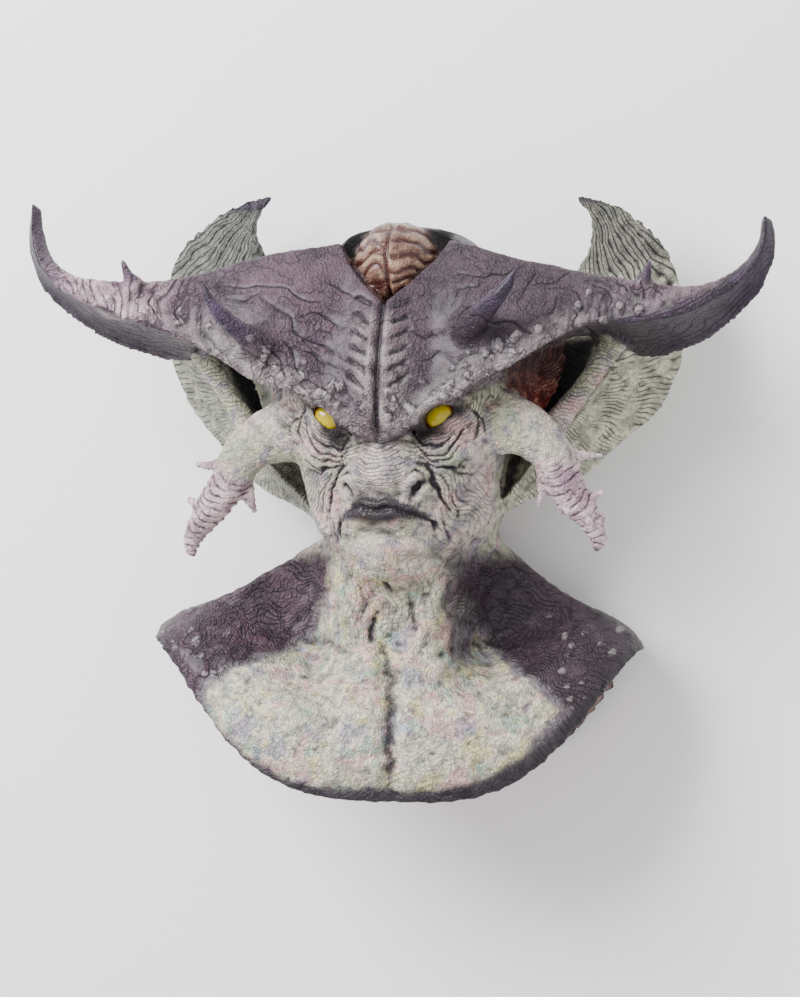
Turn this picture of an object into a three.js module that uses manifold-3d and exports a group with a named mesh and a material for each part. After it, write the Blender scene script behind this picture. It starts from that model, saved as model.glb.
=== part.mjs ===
// A horned monster mask: one latex cast over head, neck and chest, and two glossy eyes set in from behind.
// Millimetres. It lies on its back: +Z comes out of the face, +Y goes to the crown, +X to the right.
// Places are measured from the neck's axis, x = 0, with y = 0 at the upper lip and z = 0 on the floor.

import * as THREE from "three";
import { LoftGeometry } from "three/addons/geometries/LoftGeometry.js";
import { mergeVertices } from "three/addons/utils/BufferGeometryUtils.js";
import Module from "manifold-3d";

// Driving dimensions
const HEAD_HALF = 102;
const NECK_HALF = 76;
const TEMPLE_HALF = 117;
const BUST_HALF = 241;
const CROWN_Y = 265;
const BUST_BOTTOM_Y = -285;
const SHOULDER_TIP_Y = -143;
const NECK_AXIS_Z = 150;
const CREST_STEP = 16;
const BUST_TWIST = 11;
const BUST_SHIFT = -8;
const BUST_DROP_SLOPE = 0.02;
const RIM_BEAD = 4;
const LATEX_WALL = 5;
const EYE_PLACE = [54.5, 76.8, 215];
const EYE_RADIUS = 16.5;
const EYE_DOME = 12.5;
const EYE_GAP = 0.35;
const EYE_SLANT = 35;
const LID_THICKNESS = 2.2;
const LID_OPENING = [15.5, 7];
const SLIT_PLACE = [31, 62.5, 205];
const SLIT_SIZE = [8, 4.5, 90];
const BRAIN_PLACE = [0, 225, 166];
const BRAIN_RADII = [40, 41, 47];
const BRAIN_FLOOR_Z = 170;
const EAR_RIBS = 3;
const SPUR_RIDGES = 7;

const FRONT_STEPS = 16;
const BACK_STEPS = 8;

const wasm = await Module();
wasm.setup();

const degrees = THREE.MathUtils.degToRad;
const clamp = THREE.MathUtils.clamp;

// From 0 to 1 as x goes from low to high, level at both ends.
const smooth = (x, low, high) => THREE.MathUtils.smoothstep(x, low, high);

// A rounded hill of height 1 at the middle, with the given half-widths.
const hill = (dx, dy, halfX, halfY) => Math.exp(-((dx / halfX) ** 2) - (dy / halfY) ** 2);

// A rounded ridge of height 1 along the line from a to b.
function ridge(x, y, a, b, width) {
  const start = new THREE.Vector3(...a, 0);
  const end = new THREE.Vector3(...b, 0);
  const place = new THREE.Vector3(x, y, 0);
  const nearest = new THREE.Line3(start, end).closestPointToPoint(place, true, new THREE.Vector3());
  return Math.exp(-((nearest.distanceTo(place) / width) ** 2));
}

// The value at place t of a smooth curve through evenly spaced values.
function through(values, t) {
  const last = values.length - 1;
  const i = clamp(Math.floor(t), 0, last - 1);
  const at = (k) => values[clamp(k, 0, last)];
  const f = t - i;
  const inSlope = (at(i + 1) - at(i - 1)) / 2;
  const outSlope = (at(i + 2) - at(i)) / 2;
  const rise = at(i + 1) - at(i);
  const squared = 3 * rise - 2 * inSlope - outSlope;
  const cubed = inSlope + outSlope - 2 * rise;
  return at(i) + f * inSlope + f ** 2 * squared + f ** 3 * cubed;
}

// The value at x of straight stretches through [x, value] pairs.
function track(pairs, x) {
  const next = pairs.findIndex((pair) => pair[0] >= x);
  if (next === 0) return pairs[0][1];
  if (next < 0) return pairs[pairs.length - 1][1];
  const [a, b] = [pairs[next - 1], pairs[next]];
  return a[1] + ((x - a[0]) / (b[0] - a[0])) * (b[1] - a[1]);
}

// A closed geometry as a solid, turned the right way out. Faces with no area, at a pole, are dropped.
function solidOf(geometry) {
  const bare = new THREE.BufferGeometry();
  bare.setAttribute("position", geometry.getAttribute("position"));
  bare.setIndex(geometry.getIndex());
  const merged = mergeVertices(bare, 1e-4);
  const corners = [];
  for (let i = 0; i < merged.index.count; i += 3) {
    const [a, b, c] = [0, 1, 2].map((k) => merged.index.getX(i + k));
    if (a !== b && b !== c && c !== a) corners.push(a, b, c);
  }
  const vertProperties = merged.attributes.position.array;
  const build = (triVerts) => new wasm.Manifold(new wasm.Mesh({ numProp: 3, vertProperties, triVerts }));
  const solid = build(new Uint32Array(corners));
  return solid.volume() > 0 ? solid : build(new Uint32Array(corners.reverse()));
}

function geometryOf(solid) {
  const mesh = solid.getMesh();
  const geometry = new THREE.BufferGeometry();
  geometry.setAttribute("position", new THREE.BufferAttribute(mesh.vertProperties, 3));
  geometry.setIndex(new THREE.BufferAttribute(mesh.triVerts, 1));
  return geometry;
}

// A ring drawn together into its middle.
function pole(ring) {
  const middle = ring.reduce((sum, p) => sum.add(p), new THREE.Vector3()).divideScalar(ring.length);
  return ring.map(() => middle.clone());
}

// A loft whose two ends are drawn together and so closed.
const loft = (rings) => solidOf(new LoftGeometry([pole(rings[0]), ...rings, pole(rings[rings.length - 1])]));

// A round body with three radii, turned about the way out of the face.
function ellipsoid(place, radii, slant, across, down) {
  const geometry = new THREE.SphereGeometry(1, across, down);
  geometry.scale(...radii);
  geometry.rotateZ(degrees(slant));
  geometry.translate(...place);
  return solidOf(geometry);
}

// The head, neck and bust are one row of stations from the crown to the bust's rim. Each gives the height y of
// its ring at the front, side and back, its half-width, its z at the side, front and back, how peaked its front
// is, and how far inside it the hollow lies at the front, side and back.
const station = (yFront, ySide, yBack, half, zSide, zFront, zBack, peak, inFront, inSide, inBack) => ({
  yFront, ySide, yBack, half, zSide, zFront, zBack, peak, inFront, inSide, inBack,
});
const level = (y, ...rest) => station(y, y, y, ...rest);
const W = LATEX_WALL;
const BODY = [
  level(CROWN_Y, 3, 125, 128, 122, 1, 1, 1, 1),
  level(257, 50, 125, 160, 80, 0.9, 24, 26, 20),
  level(235, 76, 125, 182, 48, 0.9, 30, 30, 20),
  level(205, 94, 130, 196, 22, 0.85, 32, 26, 16),
  level(170, HEAD_HALF, 136, 212, 6, 0.8, 26, 20, 13),
  level(130, TEMPLE_HALF - 4, 152, 226, -9, 0.75, 24, 24, 14),
  level(95, TEMPLE_HALF, 160, 230, -11, 0.75, 24, 25, 15),
  level(62, TEMPLE_HALF - 10, 156, 228, -8, 0.7, 20, 20, 14),
  level(30, HEAD_HALF - 4, 148, 225, 4, 0.65, 16, 13, 11),
  level(0, HEAD_HALF - 9, 142, 224, 14, 0.75, 13, 11, 10),
  level(-32, HEAD_HALF - 16, 138, 222, 30, 1.1, 12, 10, 9),
  station(-71, -36, -34, 84, 130, 220, 42, 2.2, 11, 9, 8),
  station(-85, -43, -48, 92, 122, 198, 46, 2.6, 9, 8, 7),
  station(-108, -65, -66, 122, 115, 190, 34, 3.2, 7, 7, 6),
  station(-140, -87, -98, 155, 112, 190, 15, 3, 6, 6, W),
  station(-170, -103, -134, 185, 106, 200, -3, 2, W, W, W),
  station(-203, -114, -174, 212, 103, 217, -6, 1.3, W, W, W),
  station(-238, -125, -216, 230, 100, 228, -6, 1, W, W, W),
  station(-266, -134, -252, BUST_HALF - 3, 98, 229, -6, 0.9, W, W, W),
  station(BUST_BOTTOM_Y, SHOULDER_TIP_Y, -275, BUST_HALF, 97, 222, -6, 0.85, W, W, W),
];
const CHIN_STATION = 11;
const RIM_STATION = BODY.length - 1;
const HOLLOW_TOP_STATION = 3.4;

// The brow's lower edge over the eyes, as height over the distance from the middle.
const BROW_LINE = [[0, 59], [29, 62], [66, 88], [102, 106], [130, 115]];

// The middle groove of the crest: its depth, its half-width, and the heights between which it runs.
const GROOVE_DEPTH = 8;
const GROOVE_HALF = 5;
const GROOVE_ENDS = [62, 186];

// Hills on each side of the face and the bust, the hollows below zero: rise, place, half-widths.
const FACE_HILLS = [
  // wing of the nose, dip under the lips, chin
  [9, 31, 13, 11, 11], [-5, 0, -33, 30, 7], [12, 0, -56, 28, 16],
  // cheekbone, hollow cheek, bag under the eye, inner corner of the eye
  [8, 72, 40, 20, 12], [-9, 80, 2, 15, 24], [6, 54, 57, 18, 6], [-9, 33, 62, 9, 7],
];
const BUST_HILLS = [
  // notch of the throat, breast
  [-7, 0, -120, 14, 26], [9, 78, -215, 60, 42],
];

// Ridges on each side, the furrows below zero: rise, first end, second end, half-width.
const FACE_RIDGES = [
  // welt beside the crest's groove, crease beside the nose
  [3, [12, 70], [13, 175], 6], [-7, [43, 34], [59, -14], 5],
];
const BUST_RIDGES = [
  // cord of the neck, collar bone, furrow down the chest
  [7, [62, -62], [16, -160], 9], [5, [22, -166], [120, -150], 12], [-5, [0, -172], [0, -290], 8],
];

// The nose: its rise, its tip's height y, and its half-widths across, up the bridge and down to the lip.
const NOSE_RISE = 16;
const NOSE_Y = 20;
const NOSE_HALVES = [23, 32, 13];

// How far listed hills and ridges stand proud at a place.
function relief(x, y, hills, ridges) {
  const out = Math.abs(x);
  let rise = 0;
  for (const [height, atX, atY, ...halves] of hills) rise += height * hill(out - atX, y - atY, ...halves);
  for (const [height, from, to, width] of ridges) rise += height * ridge(out, y, from, to, width);
  return rise;
}

// How far the face stands proud of the plain head.
function faceRelief(x, y) {
  const [noseAcross, noseUp, noseDown] = NOSE_HALVES;
  const [low, high] = GROOVE_ENDS;
  const groove = smooth(y, low - 4, low + 4) * (1 - smooth(y, high - 4, high + 4));
  let rise = CREST_STEP * smooth(y - track(BROW_LINE, Math.abs(x)), -4, 8);
  rise -= GROOVE_DEPTH * groove * Math.exp(-((x / GROOVE_HALF) ** 2));
  rise += NOSE_RISE * hill(x, y - NOSE_Y, noseAcross, y > NOSE_Y ? noseUp : noseDown);
  return rise + relief(x, y, FACE_HILLS, FACE_RIDGES);
}

// The bust looks more to +X than the head does: it is turned about the neck's axis, all but its flat back.
function turned(p, t) {
  const share = smooth(t, CHIN_STATION - 0.5, CHIN_STATION + 3) * smooth(p.z, 0, 90);
  const angle = degrees(BUST_TWIST) * share;
  const dz = p.z - NECK_AXIS_Z;
  const shift = smooth(t, CHIN_STATION, CHIN_STATION + 4);
  const drop = smooth(t, CHIN_STATION + 2, CHIN_STATION + 6);
  return new THREE.Vector3(
    p.x * Math.cos(angle) + dz * Math.sin(angle) + BUST_SHIFT * shift,
    p.y - BUST_DROP_SLOPE * p.x * drop,
    Math.max(0, NECK_AXIS_Z + dz * Math.cos(angle) - p.x * Math.sin(angle)),
  );
}

// The angles of a ring's points: close together over the face, wider apart at the back.
function ringAngles() {
  const angles = [];
  for (let k = 0; k < FRONT_STEPS; k++) {
    const s = (2 * k) / FRONT_STEPS - 1;
    angles.push((Math.PI / 2) * (1 + 0.55 * s + 0.45 * s ** 3));
  }
  for (let k = 0; k < BACK_STEPS; k++) angles.push(Math.PI * (1 + k / BACK_STEPS));
  return angles;
}
const ANGLES = ringAngles();

// One ring of the body at station t: its outer face when inset is 0, its hollow when inset is 1.
function bodyRing(t, inset, bead = 0) {
  const at = (key) => through(BODY.map((row) => row[key]), t);
  const half = at("half") - inset * at("inSide") + bead;
  const zFront = at("zFront") - inset * at("inFront") + bead;
  const zBack = at("zBack") + inset * at("inBack");
  const shoulder = smooth(t, CHIN_STATION, CHIN_STATION + 1) * (1 - smooth(t, RIM_STATION - 1, RIM_STATION));
  const ySide = at("ySide") - inset * at("inSide") * shoulder;
  const bust = smooth(t, CHIN_STATION - 0.5, CHIN_STATION + 0.7);
  const belowChin = t - CHIN_STATION;
  const column = smooth(belowChin, 0.3, 1.6) * (1 - smooth(belowChin, 3, 5));
  return ANGLES.map((angle) => {
    const c = Math.cos(angle);
    const s = Math.abs(Math.sin(angle));
    const front = angle < Math.PI;
    const fall = (1 - Math.abs(c) ** 3.4) ** 1.7;
    const x = half * c;
    const y = ySide + ((front ? at("yFront") : at("yBack")) - ySide) * fall;
    let z = at("zSide") - inset * W * bust * smooth(s, 0, 0.4);
    if (front) {
      const neck = 1 - smooth(Math.abs(x) + inset * 1.8 * W, 0.5 * NECK_HALF, 1.2 * NECK_HALF);
      z += (zFront - z) * THREE.MathUtils.lerp(s ** at("peak"), neck, column);
      const onFace = (1 - inset) * (1 - bust) * faceRelief(x, y);
      const onBust = bust * relief(x, y, BUST_HILLS, BUST_RIDGES);
      z += smooth(s, 0.1, 0.55) * (onFace + onBust);
    } else {
      z += (zBack - z) * s ** 0.7;
    }
    return turned(new THREE.Vector3(x, y, Math.max(z, inset * (W - 1))), t);
  });
}

// Head, neck and bust as one hollow shell like a sock: down the outside, round the rolled rim, up the inside.
function bodyShell() {
  const rings = [];
  const addRun = (from, to, count, inset) => {
    for (let k = 0; k < count; k++) rings.push(bodyRing(from + ((to - from) * k) / count, inset));
  };
  addRun(0, 5.2, 8, 0);
  addRun(5.2, 7, 5, 0);
  addRun(7, 10, 8, 0);
  addRun(10, CHIN_STATION, 4, 0);
  addRun(CHIN_STATION, RIM_STATION, 12, 0);
  rings.push(bodyRing(RIM_STATION, 0, RIM_BEAD));
  rings.push(bodyRing(RIM_STATION + 0.12, 0, RIM_BEAD));
  rings.push(bodyRing(RIM_STATION + 0.12, 1));
  addRun(RIM_STATION - 2 / 3, CHIN_STATION, 9, 1);
  addRun(CHIN_STATION, HOLLOW_TOP_STATION, 6, 1);
  const top = bodyRing(HOLLOW_TOP_STATION, 1);
  const middle = pole(top)[0];
  rings.push(top);
  rings.push(top.map((p) => p.clone().lerp(middle, 0.6).add(new THREE.Vector3(0, 6, 0))));
  return loft(rings);
}

// The two sides of the cast differ a little: on the +X side, the ears and the brow's outer ends sit higher, and
// the horns lower, most of all at their tips. The -X side's spur stands further out.
const HORN_SAG = 10;
const FIN_SAG = 6;
const TIP_SAG = 6;
const EAR_LIFT = 4;
const SPUR_SPREAD = 7;
function sided(side, x, y, z) {
  const ears = (smooth(x, 60, 120) - smooth(x, 190, 250)) * (1 - 2.2 * smooth(y, 150, 230));
  const hornSag = THREE.MathUtils.lerp(FIN_SAG, HORN_SAG, smooth(y, 140, 175)) * smooth(x, 190, 300);
  const sag = hornSag + TIP_SAG * smooth(x, 300, 350) * smooth(y, 220, 270);
  const spur = smooth(x, 150, 170) * smooth(z, 150, 170) * (1 - smooth(y, -4, 26));
  const spread = side < 0 ? SPUR_SPREAD * spur : 0;
  return new THREE.Vector3(side * (x + spread), y + side * (EAR_LIFT * ears - sag), z);
}

// A curve through places given for the +X side.
function edge(side, places) {
  return new THREE.CatmullRomCurve3(places.map((place) => sided(side, ...place)), false, "centripetal");
}

// Points from a towards b, without b, bowed away from the third corner c by bow times the length, with ribs.
function bowed(a, b, c, count, bow, rib) {
  const along = b.clone().sub(a);
  const length = along.length();
  const inward = c.clone().sub(a);
  const across = along.clone().cross(inward).cross(along).normalize().negate();
  return Array.from({ length: count }, (_, k) => {
    const f = k / count;
    const rise = 4 * f * (1 - f) * bow * length + (k % 2 ? rib : 0);
    return a.clone().addScaledVector(along, f).addScaledVector(across, rise);
  });
}

// A tapering sheet of three-cornered sections, lofted along a first, a second and a third edge.
function sheet(side, edges, steps, faces) {
  const curves = edges.map((places) => edge(side, places));
  const sections = [];
  for (let k = 0; k <= steps; k++) {
    const corners = curves.map((curve) => curve.getPoint(k / steps));
    const ring = faces.flatMap((face, i) =>
      bowed(corners[i], corners[(i + 1) % 3], corners[(i + 2) % 3], face.count, face.bow, face.rib ?? 0));
    sections.push(ring);
  }
  return loft(sections);
}

// A tapering round body along a path, its width across the path and its depth out of the face as it goes,
// with ridges round it.
function taper(side, path, widths, depths, steps, sides, ridges = 0, ridgeRise = 0) {
  const curve = edge(side, path);
  const sections = [];
  for (let k = 0; k <= steps; k++) {
    const f = k / steps;
    const centre = curve.getPoint(f);
    const tangent = curve.getTangent(f);
    const across = tangent.clone().cross(new THREE.Vector3(0, 0, 1)).normalize();
    const out = across.clone().cross(tangent).normalize();
    const swell = 1 + ridgeRise * Math.cos(2 * Math.PI * ridges * f);
    const width = through(widths, f * (widths.length - 1)) * swell;
    const depth = through(depths, f * (depths.length - 1)) * swell;
    sections.push(Array.from({ length: sides }, (_, i) => {
      const angle = (2 * Math.PI * i) / sides;
      const point = centre.clone().addScaledVector(across, width * Math.cos(angle));
      return point.addScaledVector(out, depth * Math.sin(angle));
    }));
  }
  return loft(sections);
}

// A thorn: a short cone with a blunt tip.
const THORN_TIP = 2;
const THORN_SIDES = 6;
function thorn(side, base, tip, radius) {
  return taper(side, [base, tip], [radius, THORN_TIP], [radius, THORN_TIP], 1, THORN_SIDES);
}

// Half of the crest, which runs out into a horn: its top edge, its front ridge and the fin under it.
const CREST_TOP = [
  [28, 252, 172], [74, 243, 188], [121, 232, 195], [160, 223, 197], [192, 214, 202], [239, 206, 222],
  [280, 203, 230], [311, 208, 226], [337, 225, 214], [350, 249, 205], [353, 270, 206],
];
const CREST_RIDGE = [
  [30, 82, 236], [76, 96, 246], [124, 115, 246], [160, 137, 240], [200, 156, 236], [245, 165, 238],
  [287, 177, 240], [321, 195, 236], [347, 219, 228], [357, 246, 223], [358, 275, 221],
];
const CREST_UNDER = [
  [40, 90, 150], [90, 112, 150], [124, 132, 150], [160, 148, 145], [195, 148, 135], [233, 134, 132],
  [272, 139, 170], [311, 157, 192], [348, 190, 208], [367, 234, 206], [365, 269, 205],
];
const CREST_FACES = [{ count: 4, bow: 0.07 }, { count: 3, bow: -0.06 }, { count: 3, bow: 0.14 }];

// The great ear behind the crest, which is all one fan: its front rim at the ear's opening, its outer edge, and
// its root on the back of the head.
const EAR_RIM = [
  [86, -20, 150], [104, 4, 148], [128, 30, 152], [150, 58, 152], [166, 90, 151], [181, 116, 150],
  [193, 143, 149], [188, 186, 132], [168, 226, 108], [172, 254, 92], [171, 278, 86], [156, 297, 82],
];
const EAR_EDGE = [
  [92, -21, 140], [118, -7, 112], [165, 14, 94], [204, 50, 86], [241, 88, 84], [263, 134, 86], [269, 176, 92],
  [264, 216, 96], [252, 247, 96], [226, 275, 90], [196, 294, 84], [160, 303, 80],
];
const EAR_ROOT = [
  [80, -18, 134], [84, 8, 112], [88, 38, 100], [92, 70, 90], [94, 102, 86], [94, 132, 84], [94, 162, 84],
  [104, 194, 80], [158, 234, 72], [170, 260, 72], [169, 282, 72], [155, 300, 72],
];
const EAR_FACES = [
  { count: 2 * EAR_RIBS + 1, bow: -0.05, rib: 2 }, { count: 3, bow: 0.08 }, { count: 3, bow: -0.16 },
];

// The cheek's bar: a broad wing from the temple, which narrows and bends down into a ridged spur.
const BAR_PATH = [
  [62, 72, 176], [96, 70, 187], [127, 62, 192], [149, 46, 192], [161, 24, 190],
  [172, 0, 187], [186, -18, 185], [195, -32, 184], [198.5, -44, 183], [196, -54, 183],
];
const BAR_WIDTHS = [34, 33, 26, 22, 19, 17, 13, 9.5, 7, 3];
const BAR_DEPTHS = [18, 16, 15, 15, 15, 14, 12, 9, 7, 3];

// The pillar is the thick front rim of the ear's opening, from the crest down to the cheek's bar.
const PILLAR_PATH = [[208, 149, 148], [196, 130, 144], [179, 104, 145], [160, 79, 153], [147, 54, 178]];
const PILLAR_WIDTHS = [13, 10, 9, 11, 14];
const PILLAR_DEPTHS = [12, 10, 10, 11, 13];

// The ear's inner fan: its foot on the temple, its free edge over the ear's opening, and its back.
const FAN_FOOT = [[122, 142, 192], [114, 121, 192], [114, 96, 191], [126, 73, 186]];
const FAN_EDGE = [[166, 149, 138], [164, 126, 135], [155, 104, 136], [142, 82, 142]];
const FAN_BACK = [[114, 144, 158], [106, 121, 150], [106, 96, 150], [118, 70, 154]];
const FAN_FACES = [{ count: 3, bow: -0.05 }, { count: 3, bow: -0.05 }, { count: 1, bow: 0 }];

// Rolls laid on the face: the brow over each eye, and the two lips from corner to corner.
const BROW_PATH = [[6, 62, 236], [29, 70, 240], [66, 98, 238], [98, 113, 227]];
const BROW_RADII = [6, 8.5, 9, 5];
const UPPER_LIP = [
  [-43, -24, 211], [-36, -15, 219], [-18, -5, 229], [0, -5, 231],
  [18, -5, 229], [36, -15, 219], [43, -24, 211],
];
const LOWER_LIP = [
  [-41, -25, 212], [-34, -20, 219], [-17, -15, 228], [0, -15, 230],
  [17, -15, 228], [34, -20, 219], [41, -25, 212],
];
const UPPER_LIP_RADII = [1.5, 3.5, 5, 5, 5, 3.5, 1.5];
const LOWER_LIP_RADII = [1.2, 2.5, 4.5, 4.5, 4.5, 2.5, 1.2];

// Thorns on the spur and the horn: base, tip, radius at the base.
const THORNS = [
  [[164, 39, 186], [203, 37, 180], 9],
  [[184, -3, 186], [204, 4, 182], 7],
  [[192, -24, 185], [205, -20, 182], 4],
  [[149, 16, 185], [140, -11, 180], 9],
  [[176, -8, 186], [166, -16, 181], 7],
  [[247, 199, 228], [256, 223, 240], 11],
];

// The brow's big spikes stand further out and lower on one side: how far each is moved.
const SPIKE_PATH = [[92, 150, 232], [106, 160, 250], [122, 173, 264], [138, 190, 272], [149, 210, 274]];
const SPIKE_RADII = [15, 12, 9, 6, 1];
const SPIKE_MOVE = { "-1": [14, -7], 1: [-8, 4] };

// Crest, ear, fan, bar, pillar, spikes and thorns of one side.
function sideForms(side) {
  const crest = sheet(side, [CREST_TOP, CREST_RIDGE, CREST_UNDER], 13, CREST_FACES);
  const ear = sheet(side, [EAR_RIM, EAR_EDGE, EAR_ROOT], 12, EAR_FACES);
  const bar = taper(side, BAR_PATH, BAR_WIDTHS, BAR_DEPTHS, 2 * SPUR_RIDGES, 8, SPUR_RIDGES, 0.04);
  const pillar = taper(side, PILLAR_PATH, PILLAR_WIDTHS, PILLAR_DEPTHS, 4, 7);
  const [outward, upward] = SPIKE_MOVE[side];
  const spikePath = SPIKE_PATH.map(([x, y, z]) => [x + outward, y + upward, z]);
  const spike = taper(side, spikePath, SPIKE_RADII, SPIKE_RADII, 6, 8);
  const brow = taper(side, BROW_PATH, BROW_RADII, BROW_RADII, 6, 6);
  const fan = sheet(side, [FAN_FOOT, FAN_EDGE, FAN_BACK], 5, FAN_FACES);
  const forms = [crest, ear, fan, bar, pillar, spike, brow];
  THORNS.forEach(([base, tip, radius]) => forms.push(thorn(side, base, tip, radius)));
  return forms;
}

// A straight-sided cutter over an outline, from z = low to z = high.
function prism(points, low, high) {
  const geometry = new THREE.ExtrudeGeometry(new THREE.Shape(points.map((p) => new THREE.Vector2(...p))), {
    depth: high - low,
    bevelEnabled: false,
  });
  geometry.translate(0, 0, low);
  return solidOf(geometry);
}

// The split crown: a notch like a V between the crest's halves, which shows the brain.
const NOTCH_SIDE = [[23, 204], [43, 226], [54, 244], [50, 275]];
function crownNotch() {
  const mirrored = NOTCH_SIDE.map(([x, y]) => [-x, y]).reverse();
  return prism([[0, 184], ...NOTCH_SIDE, ...mirrored], BRAIN_FLOOR_Z, 300);
}

// The brain: two halves with a furrow between them.
function brain() {
  const geometry = new THREE.SphereGeometry(1, 14, 9);
  const position = geometry.getAttribute("position");
  for (let i = 0; i < position.count; i++) {
    const p = new THREE.Vector3().fromBufferAttribute(position, i);
    const furrow = 1 - 0.1 * Math.exp(-((p.x / 0.12) ** 2));
    position.setXYZ(i, p.x * furrow, p.y * furrow, p.z * furrow);
  }
  geometry.scale(...BRAIN_RADII);
  geometry.translate(...BRAIN_PLACE);
  return solidOf(geometry);
}

// A glossy half-round eye with a flat back: a dome of the given radius grown by a gap.
function eyeDome(side, gap) {
  const radius = EYE_RADIUS + gap;
  const profile = [new THREE.Vector2(0, -gap)];
  const rings = 6;
  for (let k = 0; k <= rings; k++) {
    const angle = (Math.PI / 2) * (k / rings);
    const out = k === rings ? 0 : radius * Math.cos(angle);
    profile.push(new THREE.Vector2(out, (EYE_DOME + gap) * Math.sin(angle)));
  }
  const geometry = new THREE.LatheGeometry(profile, 18);
  geometry.rotateX(Math.PI / 2);
  geometry.translate(side * EYE_PLACE[0], EYE_PLACE[1], EYE_PLACE[2]);
  return geometry;
}

// What is cut for an eye: its seat, the way in from behind, the lids' slanting opening, the slit to see through.
const SHAFT_LENGTH = 70;
const SHAFT_OVERLAP = 0.1;
const LID_CUT_LENGTH = 60;
const LID_CUT_START = 2;
function eyeCuts(side) {
  const [x, y, z] = EYE_PLACE;
  const seat = solidOf(eyeDome(side, EYE_GAP));
  const shaft = new THREE.CylinderGeometry(EYE_RADIUS + EYE_GAP, EYE_RADIUS + EYE_GAP, SHAFT_LENGTH, 18);
  shaft.rotateX(Math.PI / 2);
  shaft.translate(side * x, y, z - EYE_GAP + SHAFT_OVERLAP - SHAFT_LENGTH / 2);
  const lids = new THREE.CylinderGeometry(1, 1, LID_CUT_LENGTH, 14);
  lids.rotateX(Math.PI / 2);
  lids.scale(LID_OPENING[0], LID_OPENING[1], 1);
  lids.rotateZ(degrees(side * EYE_SLANT));
  lids.translate(side * x, y, z + LID_CUT_START + LID_CUT_LENGTH / 2);
  const slit = new THREE.BoxGeometry(...SLIT_SIZE);
  slit.rotateZ(degrees(side * EYE_SLANT));
  slit.translate(side * SLIT_PLACE[0], SLIT_PLACE[1], SLIT_PLACE[2]);
  return seat.add(solidOf(shaft)).add(solidOf(lids)).add(solidOf(slit));
}

const NOSTRIL_PLACE = [36, 11.5, 232];
const NOSTRIL_RADII = [4.2, 9, 8];
const NOSTRIL_SLANT = -42;

function maskSkin() {
  let skin = bodyShell();
  for (const side of [-1, 1]) sideForms(side).forEach((form) => (skin = skin.add(form)));
  skin = skin.add(taper(1, UPPER_LIP, UPPER_LIP_RADII, UPPER_LIP_RADII, 9, 6));
  skin = skin.add(taper(1, LOWER_LIP, LOWER_LIP_RADII, LOWER_LIP_RADII, 9, 6));
  skin = skin.subtract(crownNotch()).add(brain());
  const lidRadii = [EYE_RADIUS + LID_THICKNESS, EYE_RADIUS + LID_THICKNESS, EYE_DOME + LID_THICKNESS];
  for (const side of [-1, 1]) {
    const [x, y, z] = NOSTRIL_PLACE;
    const [eyeX, eyeY, eyeZ] = EYE_PLACE;
    skin = skin.add(ellipsoid([side * eyeX, eyeY, eyeZ], lidRadii, 0, 12, 8));
    skin = skin.subtract(eyeCuts(side));
    skin = skin.subtract(ellipsoid([side * x, y, z], NOSTRIL_RADII, side * NOSTRIL_SLANT, 8, 6));
  }
  return geometryOf(skin);
}

const latex = new THREE.MeshStandardMaterial({ color: 0x8a8088, roughness: 0.45, metalness: 0 });
const eyeGloss = new THREE.MeshStandardMaterial({ color: 0xd8b400, roughness: 0.08, metalness: 0 });

const mask = new THREE.Group();
const skin = new THREE.Mesh(maskSkin(), latex);
skin.name = "mask_skin";
mask.add(skin);
for (const [name, side] of [["eye_left", -1], ["eye_right", 1]]) {
  const eye = new THREE.Mesh(eyeDome(side, 0), eyeGloss);
  eye.name = name;
  mask.add(eye);
}

// The origin is under the middle of the whole mask, on the floor.
const box = new THREE.Box3().setFromObject(mask);
mask.position.set(-(box.min.x + box.max.x) / 2, -(box.min.y + box.max.y) / 2, -box.min.z);

export default mask;
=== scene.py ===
import math
import bpy
import numpy as np
from mathutils import Matrix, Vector
from mathutils.bvhtree import BVHTree


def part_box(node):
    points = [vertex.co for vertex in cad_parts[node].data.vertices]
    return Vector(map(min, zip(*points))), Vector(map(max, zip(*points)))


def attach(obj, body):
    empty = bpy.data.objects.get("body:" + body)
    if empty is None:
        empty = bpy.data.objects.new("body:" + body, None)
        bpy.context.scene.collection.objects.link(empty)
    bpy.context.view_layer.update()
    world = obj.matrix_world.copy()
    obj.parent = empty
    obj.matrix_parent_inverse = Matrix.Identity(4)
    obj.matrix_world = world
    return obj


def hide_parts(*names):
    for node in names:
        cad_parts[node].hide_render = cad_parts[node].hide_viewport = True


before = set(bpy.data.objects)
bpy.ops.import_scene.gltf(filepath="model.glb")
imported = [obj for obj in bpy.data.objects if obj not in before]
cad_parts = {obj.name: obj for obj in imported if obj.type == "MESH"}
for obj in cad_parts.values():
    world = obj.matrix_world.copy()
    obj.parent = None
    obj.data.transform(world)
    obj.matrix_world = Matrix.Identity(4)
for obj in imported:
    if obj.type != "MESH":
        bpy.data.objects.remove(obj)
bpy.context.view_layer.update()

# mask_skin: the whole latex cast. Its forms are laid out as closed numpy surfaces in millimetres, fused by a
# voxel remesh, cut for the eyes, nostrils and split crown, fused again with the brain, and then carved.
# Millimetre places are measured from the neck's axis, with y = 0 at the upper lip and z = 0 on the floor, and
# PLACE moves them into the frame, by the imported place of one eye.
EYE, EYE_RADIUS, EYE_DOME, SLANT = np.array([54.5, 76.8, 215.0]), 16.5, 12.5, 35
AXIS_Z = 150
low, high = (np.array(corner_shadow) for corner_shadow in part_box("eye_right"))
PLACE = (low + high) / 2 * 1000 - (EYE + [0, 0, EYE_DOME / 2])


def step(x, low, high):
    """From 0 to 1 as x goes from low to high, level at both ends: 3u^2 - 2u^3."""
    u = np.clip((x - low) / (high - low), 0, 1)
    return u * u * (3 - 2 * u)


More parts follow.
